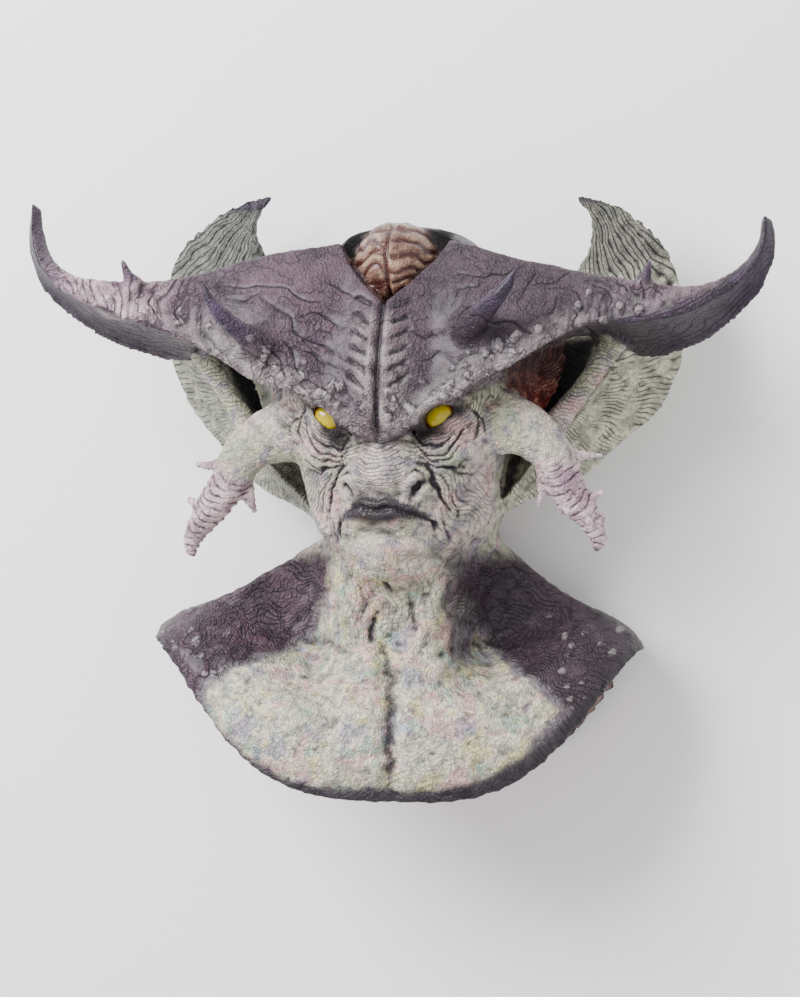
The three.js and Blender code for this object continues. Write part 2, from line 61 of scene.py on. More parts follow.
def hill(dx, dy, half_x, half_y):
    """A rounded hill: exp of minus the squares of the distances over the half-widths."""
    return np.exp(-((dx / half_x) ** 2) - (dy / half_y) ** 2)


def polyline(x, y, points):
    """The distance from each place to a line through the points, positive on the line's left and negative on
    its right, and how far along it, 0 to 1, its nearest point is."""
    points = np.asarray(points, float)
    best = np.full(np.shape(x), 1e9)
    place = np.zeros(np.shape(x))
    count = len(points) - 1
    for i, (a, b) in enumerate(zip(points[:-1], points[1:])):
        along = np.clip(((x - a[0]) * (b[0] - a[0]) + (y - a[1]) * (b[1] - a[1])) / ((b - a) @ (b - a)), 0, 1)
        away = np.hypot(x - a[0] - along * (b[0] - a[0]), y - a[1] - along * (b[1] - a[1]))
        nearer = away < np.abs(best)
        hand = (b[0] - a[0]) * (y - a[1]) - (b[1] - a[1]) * (x - a[0])
        best = np.where(nearer, np.where(hand < 0, -away, away), best)
        place = np.where(nearer, (i + along) / count, place)
    return best, place


def through(values, t):
    """A smooth curve through evenly spaced values: a cubic between two, sloped as their neighbours are."""
    values = np.asarray(values, float)
    last = len(values) - 1
    t = np.asarray(t, float)
    i = np.clip(np.floor(t).astype(int), 0, last - 1)
    f = (t - i).reshape(t.shape + (1,) * (values.ndim - 1))
    at = lambda k: values[np.clip(k, 0, last)]
    rise = at(i + 1) - at(i)
    slope_in, slope_out = (at(i + 1) - at(i - 1)) / 2, (at(i + 2) - at(i)) / 2
    return (at(i) + f * slope_in + f**2 * (3 * rise - 2 * slope_in - slope_out)
            + f**3 * (slope_in + slope_out - 2 * rise))


def curve(places, f):
    """A centripetal Catmull-Rom curve through the places, at shares f of its spans."""
    p = np.asarray(places, float)
    p = np.vstack([2 * p[0] - p[1], p, 2 * p[-1] - p[-2]])
    spans = len(p) - 3
    t = np.clip(np.asarray(f, float), 0, 1) * spans
    i = np.minimum(t.astype(int), spans - 1)
    w = (t - i)[:, None]
    p0, p1, p2, p3 = (p[i + k] for k in range(4))
    d0, d1, d2 = (np.sqrt(np.linalg.norm(b - a, axis=1))[:, None] for a, b in ((p0, p1), (p1, p2), (p2, p3)))
    m1 = ((p1 - p0) / d0 - (p2 - p0) / (d0 + d1) + (p2 - p1) / d1) * d1
    m2 = ((p2 - p1) / d1 - (p3 - p1) / (d1 + d2) + (p3 - p2) / d2) * d1
    return p1 + w * m1 + w**2 * (3 * (p2 - p1) - 2 * m1 - m2) + w**3 * (2 * (p1 - p2) + m1 + m2)


def sided(side, p):
    """A +X place moved to its side: on +X the ears sit higher, the horns lower; the -X spur stands out."""
    p = np.asarray(p, float)
    x, y, z = p[..., 0], p[..., 1], p[..., 2]
    ears = (step(x, 60, 120) - step(x, 190, 250)) * (1 - 2.2 * step(y, 150, 230))
    sag = (6 + 4 * step(y, 140, 175)) * step(x, 190, 300) + 6 * step(x, 300, 350) * step(y, 220, 270)
    spread = (side < 0) * 7 * step(x, 150, 170) * step(z, 150, 170) * (1 - step(y, -4, 26))
    return np.stack([side * (x + spread), y + side * (4 * ears - sag), z], -1)


def closed(rings):
    """A grid of rings as a closed surface: its points and its quads, with each end drawn into one point."""
    rings = np.concatenate([rings[:1].mean(1, keepdims=True) + 0 * rings[:1], rings,
                            rings[-1:].mean(1, keepdims=True) + 0 * rings[-1:]])
    m, n = rings.shape[:2]
    i, j = np.meshgrid(np.arange(m - 1), np.arange(n), indexing="ij")
    k = (j + 1) % n
    quads = np.stack([i * n + j, i * n + k, (i + 1) * n + k, (i + 1) * n + j], -1).reshape(-1, 4)
    return rings.reshape(-1, 3), quads


def joined(surfaces):
    """Several closed surfaces as one set of points and quads."""
    starts = np.cumsum([0] + [len(points) for points, quads in surfaces])
    return (np.vstack([points for points, quads in surfaces]),
            np.vstack([quads + start for (points, quads), start in zip(surfaces, starts)]))


def mesh_of(name, points, quads):
    """A new object with the given points, in millimetres of the working frame, and quads."""
    mesh = bpy.data.meshes.new(name)
    mesh.vertices.add(len(points))
    mesh.vertices.foreach_set("co", ((points + PLACE) / 1000).ravel())
    mesh.loops.add(quads.size)
    mesh.loops.foreach_set("vertex_index", quads.ravel().astype(np.int32))
    mesh.polygons.add(len(quads))
    mesh.polygons.foreach_set("loop_start", np.arange(0, quads.size, 4, dtype=np.int32))
    mesh.update(calc_edges=True)
    made = bpy.data.objects.new(name, mesh)
    bpy.context.collection.objects.link(made)
    return made


def evaluated(item):
    """Gives the object its mesh after its modifiers, and clears them."""
    depsgraph = bpy.context.evaluated_depsgraph_get()
    mesh = bpy.data.meshes.new_from_object(item.evaluated_get(depsgraph))
    item.modifiers.clear()
    old = item.data
    item.data = mesh
    bpy.data.meshes.remove(old)


def remeshed(item, size):
    """Fuses the object into closed skins of even quads, size millimetres across."""
    remesh = item.modifiers.new("fuse", "REMESH")
    remesh.mode = "VOXEL"
    remesh.voxel_size = size / 1000
    evaluated(item)


def taper(side, path, widths, depths, steps, sides):
    """A round body along a path, each ring across it, its width and depth through the given values."""
    f = np.linspace(0, 1, steps + 1)
    centre = curve(sided(side, path), f)
    tangent = np.gradient(centre, axis=0)
    across = np.cross(tangent, [0, 0, 1])
    across /= np.linalg.norm(across, axis=1)[:, None]
    out = np.cross(across, tangent)
    out /= np.linalg.norm(out, axis=1)[:, None]
    width = through(widths, f * (len(widths) - 1))
    depth = through(depths, f * (len(depths) - 1))
    angle = np.linspace(0, 2 * np.pi, sides, endpoint=False)[None, :, None]
    return closed(centre[:, None] + across[:, None] * np.cos(angle) * width[:, None, None]
                  + out[:, None] * np.sin(angle) * depth[:, None, None])


def sheet(side, edges, steps, faces):
    """A sheet of three-cornered sections along three edges, each face bowed out by its share of its width."""
    f = np.linspace(0, 1, steps + 1)
    corners = [curve(sided(side, places), f) for places in edges]
    parts = []
    for i, (count, bow) in enumerate(faces):
        a, b, c = corners[i], corners[(i + 1) % 3], corners[(i + 2) % 3]
        along = b - a
        across = -np.cross(np.cross(along, c - a), along)
        across /= np.linalg.norm(across, axis=1)[:, None] + 1e-9
        g = (np.arange(count) / count)[None, :, None]
        length = np.linalg.norm(along, axis=1)[:, None, None]
        parts.append(a[:, None] + along[:, None] * g + across[:, None] * 4 * g * (1 - g) * bow * length)
    return closed(np.concatenate(parts, 1))


def prism(outline, low, high):
    """A straight cutter over an outline, from z = low to z = high."""
    outline = np.asarray(outline, float)
    levels = np.linspace(low, high, 5)
    return closed(np.stack([np.column_stack([outline, np.full(len(outline), z)]) for z in levels]))


def oval(x, y, half, slant):
    """An ellipse's outline at a place, its long way slanted by so many degrees."""
    a = np.linspace(0, 2 * np.pi, 40, endpoint=False)
    u, v, s = half[0] * np.cos(a), half[1] * np.sin(a), math.radians(slant)
    return np.column_stack([x + u * math.cos(s) - v * math.sin(s), y + u * math.sin(s) + v * math.cos(s)])


def globe(place, radii, slant=0.0, rows=48, columns=64):
    """A round body with three radii: rings of latitude from pole to pole."""
    latitude = np.linspace(0.02, np.pi - 0.02, rows)[:, None]
    longitude = np.linspace(0, 2 * np.pi, columns, endpoint=False)[None]
    u = radii[0] * np.sin(latitude) * np.cos(longitude)
    v = radii[1] * np.sin(latitude) * np.sin(longitude)
    w = radii[2] * np.cos(latitude) + 0 * longitude
    s = math.radians(slant)
    return closed(np.stack([place[0] + u * math.cos(s) - v * math.sin(s),
                            place[1] + u * math.sin(s) + v * math.cos(s), place[2] + w], -1))


# The middle line of a cheek bar and its spur; the body, from the crown in row 0 down to the bib's rim.
BAR = [[62, 72, 176], [96, 70, 187], [127, 62, 192], [149, 46, 192], [161, 24, 190],
       [172, 0, 187], [186, -18, 185], [195, -32, 184], [198.5, -44, 183], [196, -54, 183]]
# The body's rows: y of the front, side and back, half width, z of the side, front and back, how peaked the
# front is, and how far the hollow is set in at the front, sides and back. BROW: the brow's line, out and up.
BODY = np.array([
    [265, 265, 265, 3, 125, 128, 122, 1, 1, 1, 1],
    [257, 257, 257, 50, 125, 160, 80, 0.9, 24, 26, 20],
    [235, 235, 235, 76, 125, 182, 48, 0.9, 30, 30, 20],
    [205, 205, 205, 94, 130, 196, 22, 0.85, 32, 26, 16],
    [170, 170, 170, 102, 136, 212, 6, 0.8, 26, 20, 13],
    [130, 130, 130, 113, 152, 226, -9, 0.75, 24, 24, 14],
    [95, 95, 95, 117, 160, 230, -11, 0.75, 24, 25, 15],
    [62, 62, 62, 107, 156, 228, -8, 0.7, 20, 20, 14],
    [30, 30, 30, 98, 148, 225, 4, 0.65, 16, 13, 11],
    [0, 0, 0, 93, 142, 224, 14, 0.75, 13, 11, 10],
    [-32, -32, -32, 86, 138, 222, 30, 1.1, 12, 10, 9],
    [-71, -36, -34, 84, 130, 220, 42, 2.2, 11, 9, 8],
    [-85, -43, -48, 92, 122, 198, 46, 2.6, 9, 8, 7],
    [-108, -65, -66, 122, 115, 190, 34, 3.2, 7, 7, 6],
    [-140, -87, -98, 155, 112, 190, 15, 3, 6, 6, 5],
    [-170, -103, -134, 185, 106, 200, -3, 2, 5, 5, 5],
    [-203, -114, -174, 212, 103, 217, -6, 1.3, 5, 5, 5],
    [-238, -125, -216, 230, 100, 228, -6, 1, 5, 5, 5],
    [-266, -134, -252, 238, 98, 229, -6, 0.9, 5, 5, 5],
    [-285, -143, -275, 241, 97, 222, -6, 0.85, 5, 5, 5]])
CHIN, RIM, HOLLOW_TOP = 11, 19, 3.4
BROW = np.array([[0, 59], [29, 62], [66, 88], [102, 106], [124, 113], [160, 135], [200, 154], [245, 160],
                 [287, 172], [321, 190], [347, 214], [358, 240]])


def face_relief(x, y):
    """The brow, nose, cheeks and chin as hills and ridges over the plain head."""
    out = np.abs(x)
    brow = np.interp(out, [0, 29, 66, 102, 130], [59, 62, 88, 106, 115])
    rise = 16 * step(y - brow, -4, 8)
    rise = rise + 3 * np.exp(-((polyline(out, y, [[12, 70], [13, 175]])[0] / 6) ** 2))
    rise += 16 * hill(x, y - 20, 23, np.where(y > 20, 32, 13))
    rise += 9 * hill(out - 31, y - 13, 11, 11) - 5 * hill(x, y + 33, 30, 7) + 12 * hill(x, y + 56, 28, 16)
    rise -= 7 * np.exp(-((polyline(out, y, [[43, 34], [59, -14]])[0] / 5) ** 2))
    rise += 8 * hill(out - 72, y - 40, 20, 12) - 9 * hill(out - 80, y - 2, 15, 24)
    rise += 6 * hill(out - 54, y - 57, 18, 6) - 9 * hill(out - 33, y - 62, 9, 7)
    return rise


def bust_relief(x, y):
    """The neck's cords, its notch, the collar bones, the breasts and the furrow between them."""
    out = np.abs(x)
    rise = 7 * np.exp(-((polyline(out, y, [[62, -62], [16, -160]])[0] / 9) ** 2))
    rise -= 7 * hill(x, y + 120, 14, 26)
    rise += 5 * np.exp(-((polyline(out, y, [[22, -166], [120, -150]])[0] / 12) ** 2))
    rise += 9 * hill(out - 78, y + 215, 60, 42)
    return rise - 5 * np.exp(-((polyline(x, y, [[0, -172], [0, -290]])[0] / 8) ** 2))


def turned(p, t):
    """The bust looks 11 degrees more to +X than the head: all but its flat back turns about the axis."""
    share = step(t, CHIN - 0.5, CHIN + 3) * step(p[..., 2], 0, 90)
    angle = math.radians(11) * share
    dz = p[..., 2] - AXIS_Z
    x = p[..., 0] * np.cos(angle) + dz * np.sin(angle) - 8 * step(t, CHIN, CHIN + 4)
    y = p[..., 1] - 0.02 * p[..., 0] * step(t, CHIN + 2, CHIN + 6)
    return np.stack([x, y, np.maximum(0, AXIS_Z + dz * np.cos(angle) - p[..., 0] * np.sin(angle))], -1)


def body_rings(t, inset, bead=0.0):
    """Rings of the body at rows t: an ellipse with a peaked front, on the skin (inset 0) or hollow (1)."""
    t = np.atleast_1d(np.asarray(t, float))[:, None]
    row = through(BODY, t[:, 0])
    y_front, y_side, y_back, half, z_side, z_front, z_back, peak, in_front, in_side, in_back = (
        row[:, k, None] for k in range(11))
    angle = np.concatenate([np.linspace(0, np.pi, 200, endpoint=False),
                            np.linspace(np.pi, 2 * np.pi, 90, endpoint=False)])
    c, s, front = np.cos(angle), np.abs(np.sin(angle)), angle < np.pi
    half = half - inset * in_side + bead
    z_front = z_front - inset * in_front + bead
    z_back = z_back + inset * in_back
    y_side = y_side - inset * in_side * step(t, CHIN, CHIN + 1) * (1 - step(t, RIM - 1, RIM))
    bust = step(t, CHIN - 0.5, CHIN + 0.7)
    column = step(t, CHIN + 0.3, CHIN + 1.6) * (1 - step(t, CHIN + 3, CHIN + 5))
    x = half * c
    y = y_side + (np.where(front, y_front, y_back) - y_side) * (1 - np.abs(c) ** 3.4) ** 1.7
    z = z_side - inset * 5 * bust * step(s, 0, 0.4) * front
    neck = 1 - step(np.abs(x) + inset * 9, 38, 91)
    share = s**peak
    fore = z + (z_front - z) * (share + (neck - share) * column)
    fore += step(s, 0.1, 0.55) * ((1 - inset) * (1 - bust) * face_relief(x, y) + bust * bust_relief(x, y))
    z = np.where(front, fore, z + (z_back - z) * s**0.7)
    return turned(np.stack([x, y, np.maximum(z, inset * 4)], -1), t)


outer = body_rings(np.linspace(0, RIM, 330), 0)
bead = np.concatenate([body_rings(RIM, 0, 4), body_rings(RIM + 0.12, 0, 4), body_rings(RIM + 0.12, 1)])
inner = body_rings(np.linspace(RIM - 0.3, HOLLOW_TOP, 150), 1)
top = inner[-1:] + 0.6 * (inner[-1:].mean(1, keepdims=True) - inner[-1:]) + [0, 6, 0]
forms = [("skin", closed(np.concatenate([outer, bead, inner, top])))]

for side in (-1, 1):
    forms.append(("crest", sheet(side, [
        [[28, 252, 172], [74, 243, 188], [121, 232, 195], [160, 223, 197], [192, 214, 202], [239, 206, 222],
         [280, 203, 230], [311, 208, 226], [337, 225, 214], [350, 249, 205], [353, 270, 206]],
        [[30, 82, 236], [76, 96, 246], [124, 115, 246], [160, 137, 240], [200, 156, 236], [245, 165, 238],
         [287, 177, 240], [321, 195, 236], [347, 219, 228], [357, 246, 223], [358, 275, 221]],
        [[40, 90, 150], [90, 112, 150], [124, 132, 150], [160, 148, 145], [195, 148, 135], [233, 134, 132],
         [272, 139, 170], [311, 157, 192], [348, 190, 208], [367, 234, 206], [365, 269, 205]]],
        160, [(40, 0.07), (30, -0.06), (30, 0.14)])))
    forms.append(("ear", sheet(side, [
        [[86, -20, 150], [104, 4, 148], [128, 30, 152], [150, 58, 152], [166, 90, 151], [181, 116, 150],
         [193, 143, 149], [188, 186, 132], [168, 226, 108], [172, 254, 92], [171, 278, 86], [156, 297, 82]],
        [[92, -21, 140], [118, -7, 112], [165, 14, 94], [204, 50, 86], [241, 88, 84], [263, 134, 86],
         [269, 176, 92], [264, 216, 96], [252, 247, 96], [226, 275, 90], [196, 294, 84], [160, 303, 80]],
        [[80, -18, 134], [84, 8, 112], [88, 38, 100], [92, 70, 90], [94, 102, 86], [94, 132, 84],
         [94, 162, 84], [104, 194, 80], [158, 234, 72], [170, 260, 72], [169, 282, 72], [155, 300, 72]]],
        150, [(36, -0.05), (30, 0.08), (24, -0.16)])))
    forms.append(("fan", sheet(side, [
        [[122, 142, 192], [114, 121, 192], [114, 96, 191], [126, 73, 186]],
        [[166, 149, 138], [164, 126, 135], [155, 104, 136], [142, 82, 142]],
        [[114, 144, 158], [106, 121, 150], [106, 96, 150], [118, 70, 154]]],
        50, [(30, -0.05), (20, -0.05), (14, 0.0)])))
    forms.append(("bar", taper(side, BAR, [34, 33, 26, 22, 19, 17, 13, 9.5, 7, 3],
                               [18, 16, 15, 15, 15, 14, 12, 9, 7, 3], 150, 60)))
    forms.append(("pillar", taper(side, [[208, 149, 148], [196, 130, 144], [179, 104, 145], [160, 79, 153],
                                         [147, 54, 178]], [13, 10, 9, 11, 14], [12, 10, 10, 11, 13], 60, 40)))
    moved = {-1: [14, -7, 0], 1: [-8, 4, 0]}[side]
    spike = np.array([[92, 150, 232], [106, 160, 250], [122, 173, 264], [138, 190, 272],
                      [149, 210, 274]]) + moved
    forms.append(("spike", taper(side, spike, [15, 12, 9, 6, 2], [15, 12, 9, 6, 2], 60, 32)))
    forms.append(("crest", taper(side, [[6, 62, 236], [29, 70, 240], [66, 98, 238], [98, 113, 227]],
                                 [6, 8.5, 9, 5], [6, 8.5, 9, 5], 60, 24)))
    for kind, base, tip, radius in (
            ("bar", [164, 39, 186], [203, 37, 180], 9), ("bar", [184, -3, 186], [204, 4, 182], 7),
            ("bar", [192, -24, 185], [205, -20, 182], 4), ("bar", [149, 16, 185], [140, -11, 180], 9),
            ("bar", [176, -8, 186], [166, -16, 181], 7), ("crest", [247, 199, 228], [256, 223, 240], 11)):
        middle = (np.array(base) + tip) / 2 + [0, -1.5, 0]
        width = [radius, 0.3 * radius + 2.2, 2.6]
        forms.append((kind, taper(side, [base, middle, tip], width, width, 20, 24)))
    forms.append(("lid", globe([side * EYE[0], EYE[1], EYE[2]],
                               [EYE_RADIUS + 3, EYE_RADIUS + 3, EYE_DOME + 3])))
for path, radii in (
        ([[-43, -24, 211], [-36, -15, 219], [-18, -5, 229], [0, -5, 231], [18, -5, 229], [36, -15, 219],
          [43, -24, 211]], [1.5, 3.5, 5, 5, 5, 3.5, 1.5]),
        ([[-41, -25, 212], [-34, -20, 219], [-17, -15, 228], [0, -15, 230], [17, -15, 228], [34, -20, 219],
          [41, -25, 212]], [1.2, 2.5, 4.5, 4.5, 4.5, 2.5, 1.2])):
    forms.append(("lip", taper(1, path, radii, radii, 80, 24)))
skin = mesh_of("mask_skin_cast", *joined([surface for kind, surface in forms]))
remeshed(skin, 2.4)


def places(item):
    """The object's points in millimetres of the working frame, their normals, and its edges' two points."""
    mesh = item.data
    points, normals = np.empty((2, len(mesh.vertices) * 3))
    edges = np.empty(len(mesh.edges) * 2, np.int32)
    mesh.vertices.foreach_get("co", points)
    mesh.vertex_normals.foreach_get("vector", normals)
    mesh.edges.foreach_get("vertices", edges)
    return points.reshape(-1, 3) * 1000 - PLACE, normals.reshape(-1, 3), edges.reshape(-1, 2)


def put(item, points):
    """Moves the object's points to the given places."""
    item.data.vertices.foreach_set("co", ((points + PLACE) / 1000).ravel())
    item.data.update()


def pull(values, edges):
    """From each point's values to the mean of its neighbours' values."""
    a, b = edges.T
    count = np.bincount(a, minlength=len(values)) + np.bincount(b, minlength=len(values))
    total = np.stack([np.bincount(a, values[b, k], len(values)) + np.bincount(b, values[a, k], len(values))
                      for k in range(values.shape[1])], -1)
    return total / np.maximum(count, 1)[:, None] - values


def noise(places, size, seed, waves=16):
    """Smooth noise, mostly from -1 to 1: a sum of sine waves of about one length, each going its own way."""
    random = np.random.default_rng(seed)
    ways = random.normal(size=(waves, 3))
    ways *= (2 * np.pi / (size * random.uniform(0.7, 1.6, waves)) / np.linalg.norm(ways, axis=1))[:, None]
    starts = random.uniform(0, 7, waves)
    return sum(np.sin(places @ way + start) for way, start in zip(ways, starts)) / waves**0.5


def grooves(phase, width):
    """A rounded groove of depth 1 at each half phase, its width a share of the spacing."""
    return np.exp(-(((phase % 1 - 0.5) / width) ** 2))


# The joins between the forms are filled as clay is: only hollows are drawn out to their neighbours' mean.
for rounds in range(6):
    points, normals, edges = places(skin)
    for again in range(6):
        shift = pull(points, edges)
        points += 0.8 * shift * (np.einsum("ij,ij->i", shift, normals) > 0)[:, None]
    put(skin, points)

# The split crown, and for each eye its seat from behind, its dome, the lids' slanting opening, the slit that
# the wearer sees through, and the nostril.
cuts = [prism([[0, 184], [23, 204], [43, 226], [54, 244], [50, 275],
               [-50, 275], [-54, 244], [-43, 226], [-23, 204]], 170, 300)]
for side in (-1, 1):
    cuts.append(prism(oval(side * EYE[0], EYE[1], [EYE_RADIUS + 0.4] * 2, 0), 140, EYE[2]))
    cuts.append(globe([side * EYE[0], EYE[1], EYE[2] - 0.2],
                      [EYE_RADIUS + 0.4, EYE_RADIUS + 0.4, EYE_DOME + 0.5]))
    cuts.append(prism(oval(side * EYE[0], EYE[1], [15.5, 7.6], side * SLANT), 205, 260))
    cuts.append(prism(oval(side * 31, 62.5, [5, 2.2], side * SLANT), 160, 250))
    cuts.append(globe([side * 36, 11.5, 233], [4.2, 9, 8], side * -42))
cutter = mesh_of("cutter", *joined(cuts))
remeshed(cutter, 1.0)
cut = skin.modifiers.new("cut", "BOOLEAN")
cut.operation, cut.solver, cut.object = "DIFFERENCE", "MANIFOLD", cutter
evaluated(skin)
bpy.data.objects.remove(cutter)
forms.append(("brain", globe([0, 225, 166], [40, 41, 47])))
brain = mesh_of("brain", *forms[-1][1])
with bpy.context.temp_override(active_object=skin, selected_editable_objects=[skin, brain]):
    bpy.ops.object.join()
remeshed(skin, 1.9)
points, normals, edges = places(skin)
for share in (0.6, -0.62) * 4:
    points += share * pull(points, edges)
put(skin, points)
points, normals, edges = places(skin)

# Which form each point of the skin lies on, as soft masks from 0 to 1.
kinds = ["skin", "lining", "crest", "ear", "fan", "bar", "pillar", "spike", "lid", "lip", "brain"]
face_kind = np.concatenate([np.full(len(quads), kinds.index(kind)) for kind, (corners, quads) in forms])
per_ring, outer_rings = outer.shape[1], len(outer) + len(bead)
face_kind[per_ring * outer_rings:len(forms[0][1][1])] = kinds.index("lining")
tree = BVHTree.FromPolygons(*[part.tolist() for part in joined([surface for kind, surface in forms])])
nearest = face_kind[[tree.find_nearest(place)[2] for place in points.tolist()]]
soft = (nearest[:, None] == np.arange(len(kinds))).astype(float)
for again in range(6):
    soft += 0.6 * pull(soft, edges)
on = dict(zip(kinds, soft.T))
x, y, z = points.T
out, side, nz = np.abs(x), np.sign(x), normals[:, 2]

# The lining faces the middle of the hollow, so what looks away from it is skin, however thin the wall is.
middle_z = 60
inward = step(-(x * normals[:, 0] + (z - middle_z) * nz) / np.hypot(x, z - middle_z), -0.2, 0.1)
on["skin"] += on["lining"] * (1 - inward)
on["lining"] *= inward
outside = 1 - on["lining"]

# Lines are drawn on places shifted a little to and fro, so that none runs true.
sway = np.stack([2.2 * noise(points, 34, k) + 0.7 * noise(points, 11, k + 9) for k in (1, 2)], -1)
wx, wy = x + sway[:, 0], y + sway[:, 1]
wout = np.abs(wx)
brow = np.interp(out, *BROW.T) - 4 * side * step(out, 240, 330)
above = np.maximum(step(y - brow, -3, 3) * step(z, 120, 160), step(y, 226, 236) * step(z, 30, 60))
crest = on["crest"] + on["spike"] + (on["skin"] + on["lid"]) * above
bust = (on["skin"] + on["lining"]) * step(-y, 40, 66)
face = (on["skin"] + on["lid"] + on["bar"]) * (1 - crest) * (1 - bust)
face *= step(z, 150, 175) * step(nz, -0.1, 0.2)
bar_x = out - 7 * (side < 0) * step(out, 157, 177) * (1 - step(y, -4, 26))
bar_across, bar_place = polyline(bar_x, y - 4 * side, [place[:2] for place in BAR])
spans = np.linalg.norm(np.diff(np.array(BAR)[:, :2], axis=0), axis=1)
bar_along = np.interp(bar_place * len(spans), np.arange(len(BAR)), np.concatenate([[0], np.cumsum(spans)]))
spur = on["bar"] * step(bar_place, 0.38, 0.48)
lid_x, lid_y = wout - EYE[0], wy - EYE[1]
turn = math.radians(SLANT)
lid_u = lid_x * math.cos(turn) + lid_y * math.sin(turn)
lid_v = lid_y * math.cos(turn) - lid_x * math.sin(turn)
lid = np.hypot(lid_u / 15.5, lid_v / 7)
relief, ink, phase, drawn = np.zeros((4, len(points)))


def crease(line, width, depth, where, sideways=wout, dark=0.35):
    """A groove along a line, fading out at its ends, with a welt along each side of it, and ink in it, darker
    the deeper it is, as painted shade.
    """
    global relief, ink
    away, place = polyline(sideways, wy, line)
    away = np.abs(away)
    fade = np.sqrt(np.sin(np.pi * np.clip(place, 0.03, 0.97))) * where
    welts = 0.4 * np.exp(-(((away - 2.2 * width) / (1.3 * width)) ** 2))
    relief += depth * fade * (welts - np.exp(-((away / width) ** 2)))
    ink += fade * np.exp(-((away / (0.9 * width)) ** 2)) * min(1, dark + dark * 0.7 * depth)


def fine(at, share):
    """Fine lines, which the material draws at each whole value of at, as deep and dark as the share."""
    global phase, drawn
    phase, drawn = np.where(share > drawn, at, phase), np.maximum(share, drawn)


# The face: the wings of the nose, bags and folds under the eyes, corners of the mouth, chin; mouth, nostrils.
for line, width, depth in (
        ([[34, 33], [41, 31], [45.5, 23], [48, 13], [53, 2], [59, -10]], 1.8, 3.0),
        ([[26, 25], [33, 26], [40, 22], [44, 15]], 1.5, 1.2),
        ([[31, 60], [42, 49], [56, 51], [69, 64]], 1.5, 2.2),
        ([[30, 53], [43, 41], [60, 43], [75, 60], [80, 72]], 1.5, 1.8),
        ([[36, 46], [46, 35], [62, 36], [80, 52]], 1.4, 1.5),
        ([[33, 44], [48, 28], [66, 27], [86, 38]], 1.5, 1.7),
        ([[52, 31], [66, 24], [86, 23]], 1.5, 1.2), ([[53, 22], [62, 8], [68, -8], [68, -24]], 1.6, 1.2),
        ([[60, 16], [70, 2], [76, -14]], 1.5, 1.0), ([[40, -17], [46, -24], [47, -36]], 1.7, 2.2),
        ([[46, -16], [54, -26], [56, -40]], 1.5, 1.2), ([[20, -27], [8, -30], [-6, -28]], 3.2, 0.5),
        ([[62, -22], [54, -44], [40, -60]], 2.4, 0.3), ([[82, 84], [92, 74], [96, 60]], 1.4, 1.0),
        ([[76, 88], [86, 78], [88, 62], [84, 50]], 1.4, 1.0)):
    crease(line, width, depth, face)
mouth = np.maximum(face, on["lip"])
crease([[-50, -36], [-47, -27], [-40, -18], [-31, -11], [-20, -9], [-8, -10.8], [4, -10], [16, -9.6],
        [27, -12.5], [37, -17], [46, -23], [51, -31]], 1.9, 3.6, mouth, x + 0.3 * sway[:, 0], 0.9)
crease([[28, 3], [32, 9], [37.5, 15], [43, 17]], 2.7, 5.0, mouth, x, 0.9)
crease([[-28.5, 3], [-32, 12], [-36, 14.5], [-39.5, 10]], 2.0, 4.0, mouth, x, 0.9)
bridge = step(30 - out, 0, 10) * step(wy, 4, 16) * (1 - step(wy, 56, 63)) * face
bags = step(lid, 1.25, 1.6) * (1 - step(lid, 3.4, 4.4)) * (1 - step(lid_v, -1, 5)) * face
fine((wy - 0.012 * x**2) / 3.6 + 0.4 * noise(points, 26, 5), 0.6 * bridge)
fine(lid / 0.36 + 0.35 * noise(points, 24, 6), 0.6 * bags)
fine((0.85 * wout + 0.5 * wy) / 5.2 + 0.8 * noise(points, 40, 7),
     0.5 * face * step(out, 38, 50) * (1 - step(out, 92, 106)) * (1 - step(y, 20, 34)) * step(y, -60, -30))
fine(wx / 3.4 + 0.2 * noise(points, 14, 8), 0.3 * on["lip"])
fine(lid_v / 3.4 + 0.3 * noise(points, 20, 9),
     0.5 * face * step(out, 70, 80) * (1 - step(out, 96, 112)) * step(y, 52, 66))
relief -= 0.5 * grooves((wy - 0.012 * x**2) / 7.8 + 0.4 * noise(points, 26, 5), 0.3) * bridge

# The crest: its middle groove between two welts, gill slits beside it, rings round the horns, folds under
# them, and cracks, each with the places that it runs through.
gill_at = (wy - 78 - 0.55 * (out - 8)) / 15.5
gills = grooves(gill_at, 0.15) * step(out, 9, 13) * (1 - step(out, 24, 32)) * step(gill_at, 1, 1.2)
gills *= (1 - step(gill_at, 6.9, 7.1)) * crest * (nz > 0.3)
middle = np.exp(-((x / 2.0) ** 2)) * step(y, 60, 66) * (1 - step(y, 182, 190)) * crest
relief += 2.4 * hill(out - 7, 0, 4, 1) * crest * (1 - step(y, 178, 190)) - 4.5 * middle - 3.2 * gills
# Ink in the middle groove and the gill slits, also standing for the shade in them: painted shade.
ink += 0.9 * middle + 0.9 * gills
fin = crest * step(brow + 14 - wy, 0, 10) * step(out, 190, 230)
rings = crest * step(out, 170, 215) * (1 - fin) * (1 - 0.6 * step(out, 320, 350))
ring_at = wout / 10.5 - 0.014 * (wy - brow) + 0.7 * noise(points, 60, 8)
relief -= 0.7 * grooves(ring_at + 0.5, 0.17) * rings
fine(ring_at, 0.75 * rings * step(noise(points, 30, 20), -0.5, 0.3))
fine((brow - wy) / 5.0 + 0.016 * wout + 0.4 * noise(points, 45, 10), 0.9 * fin)
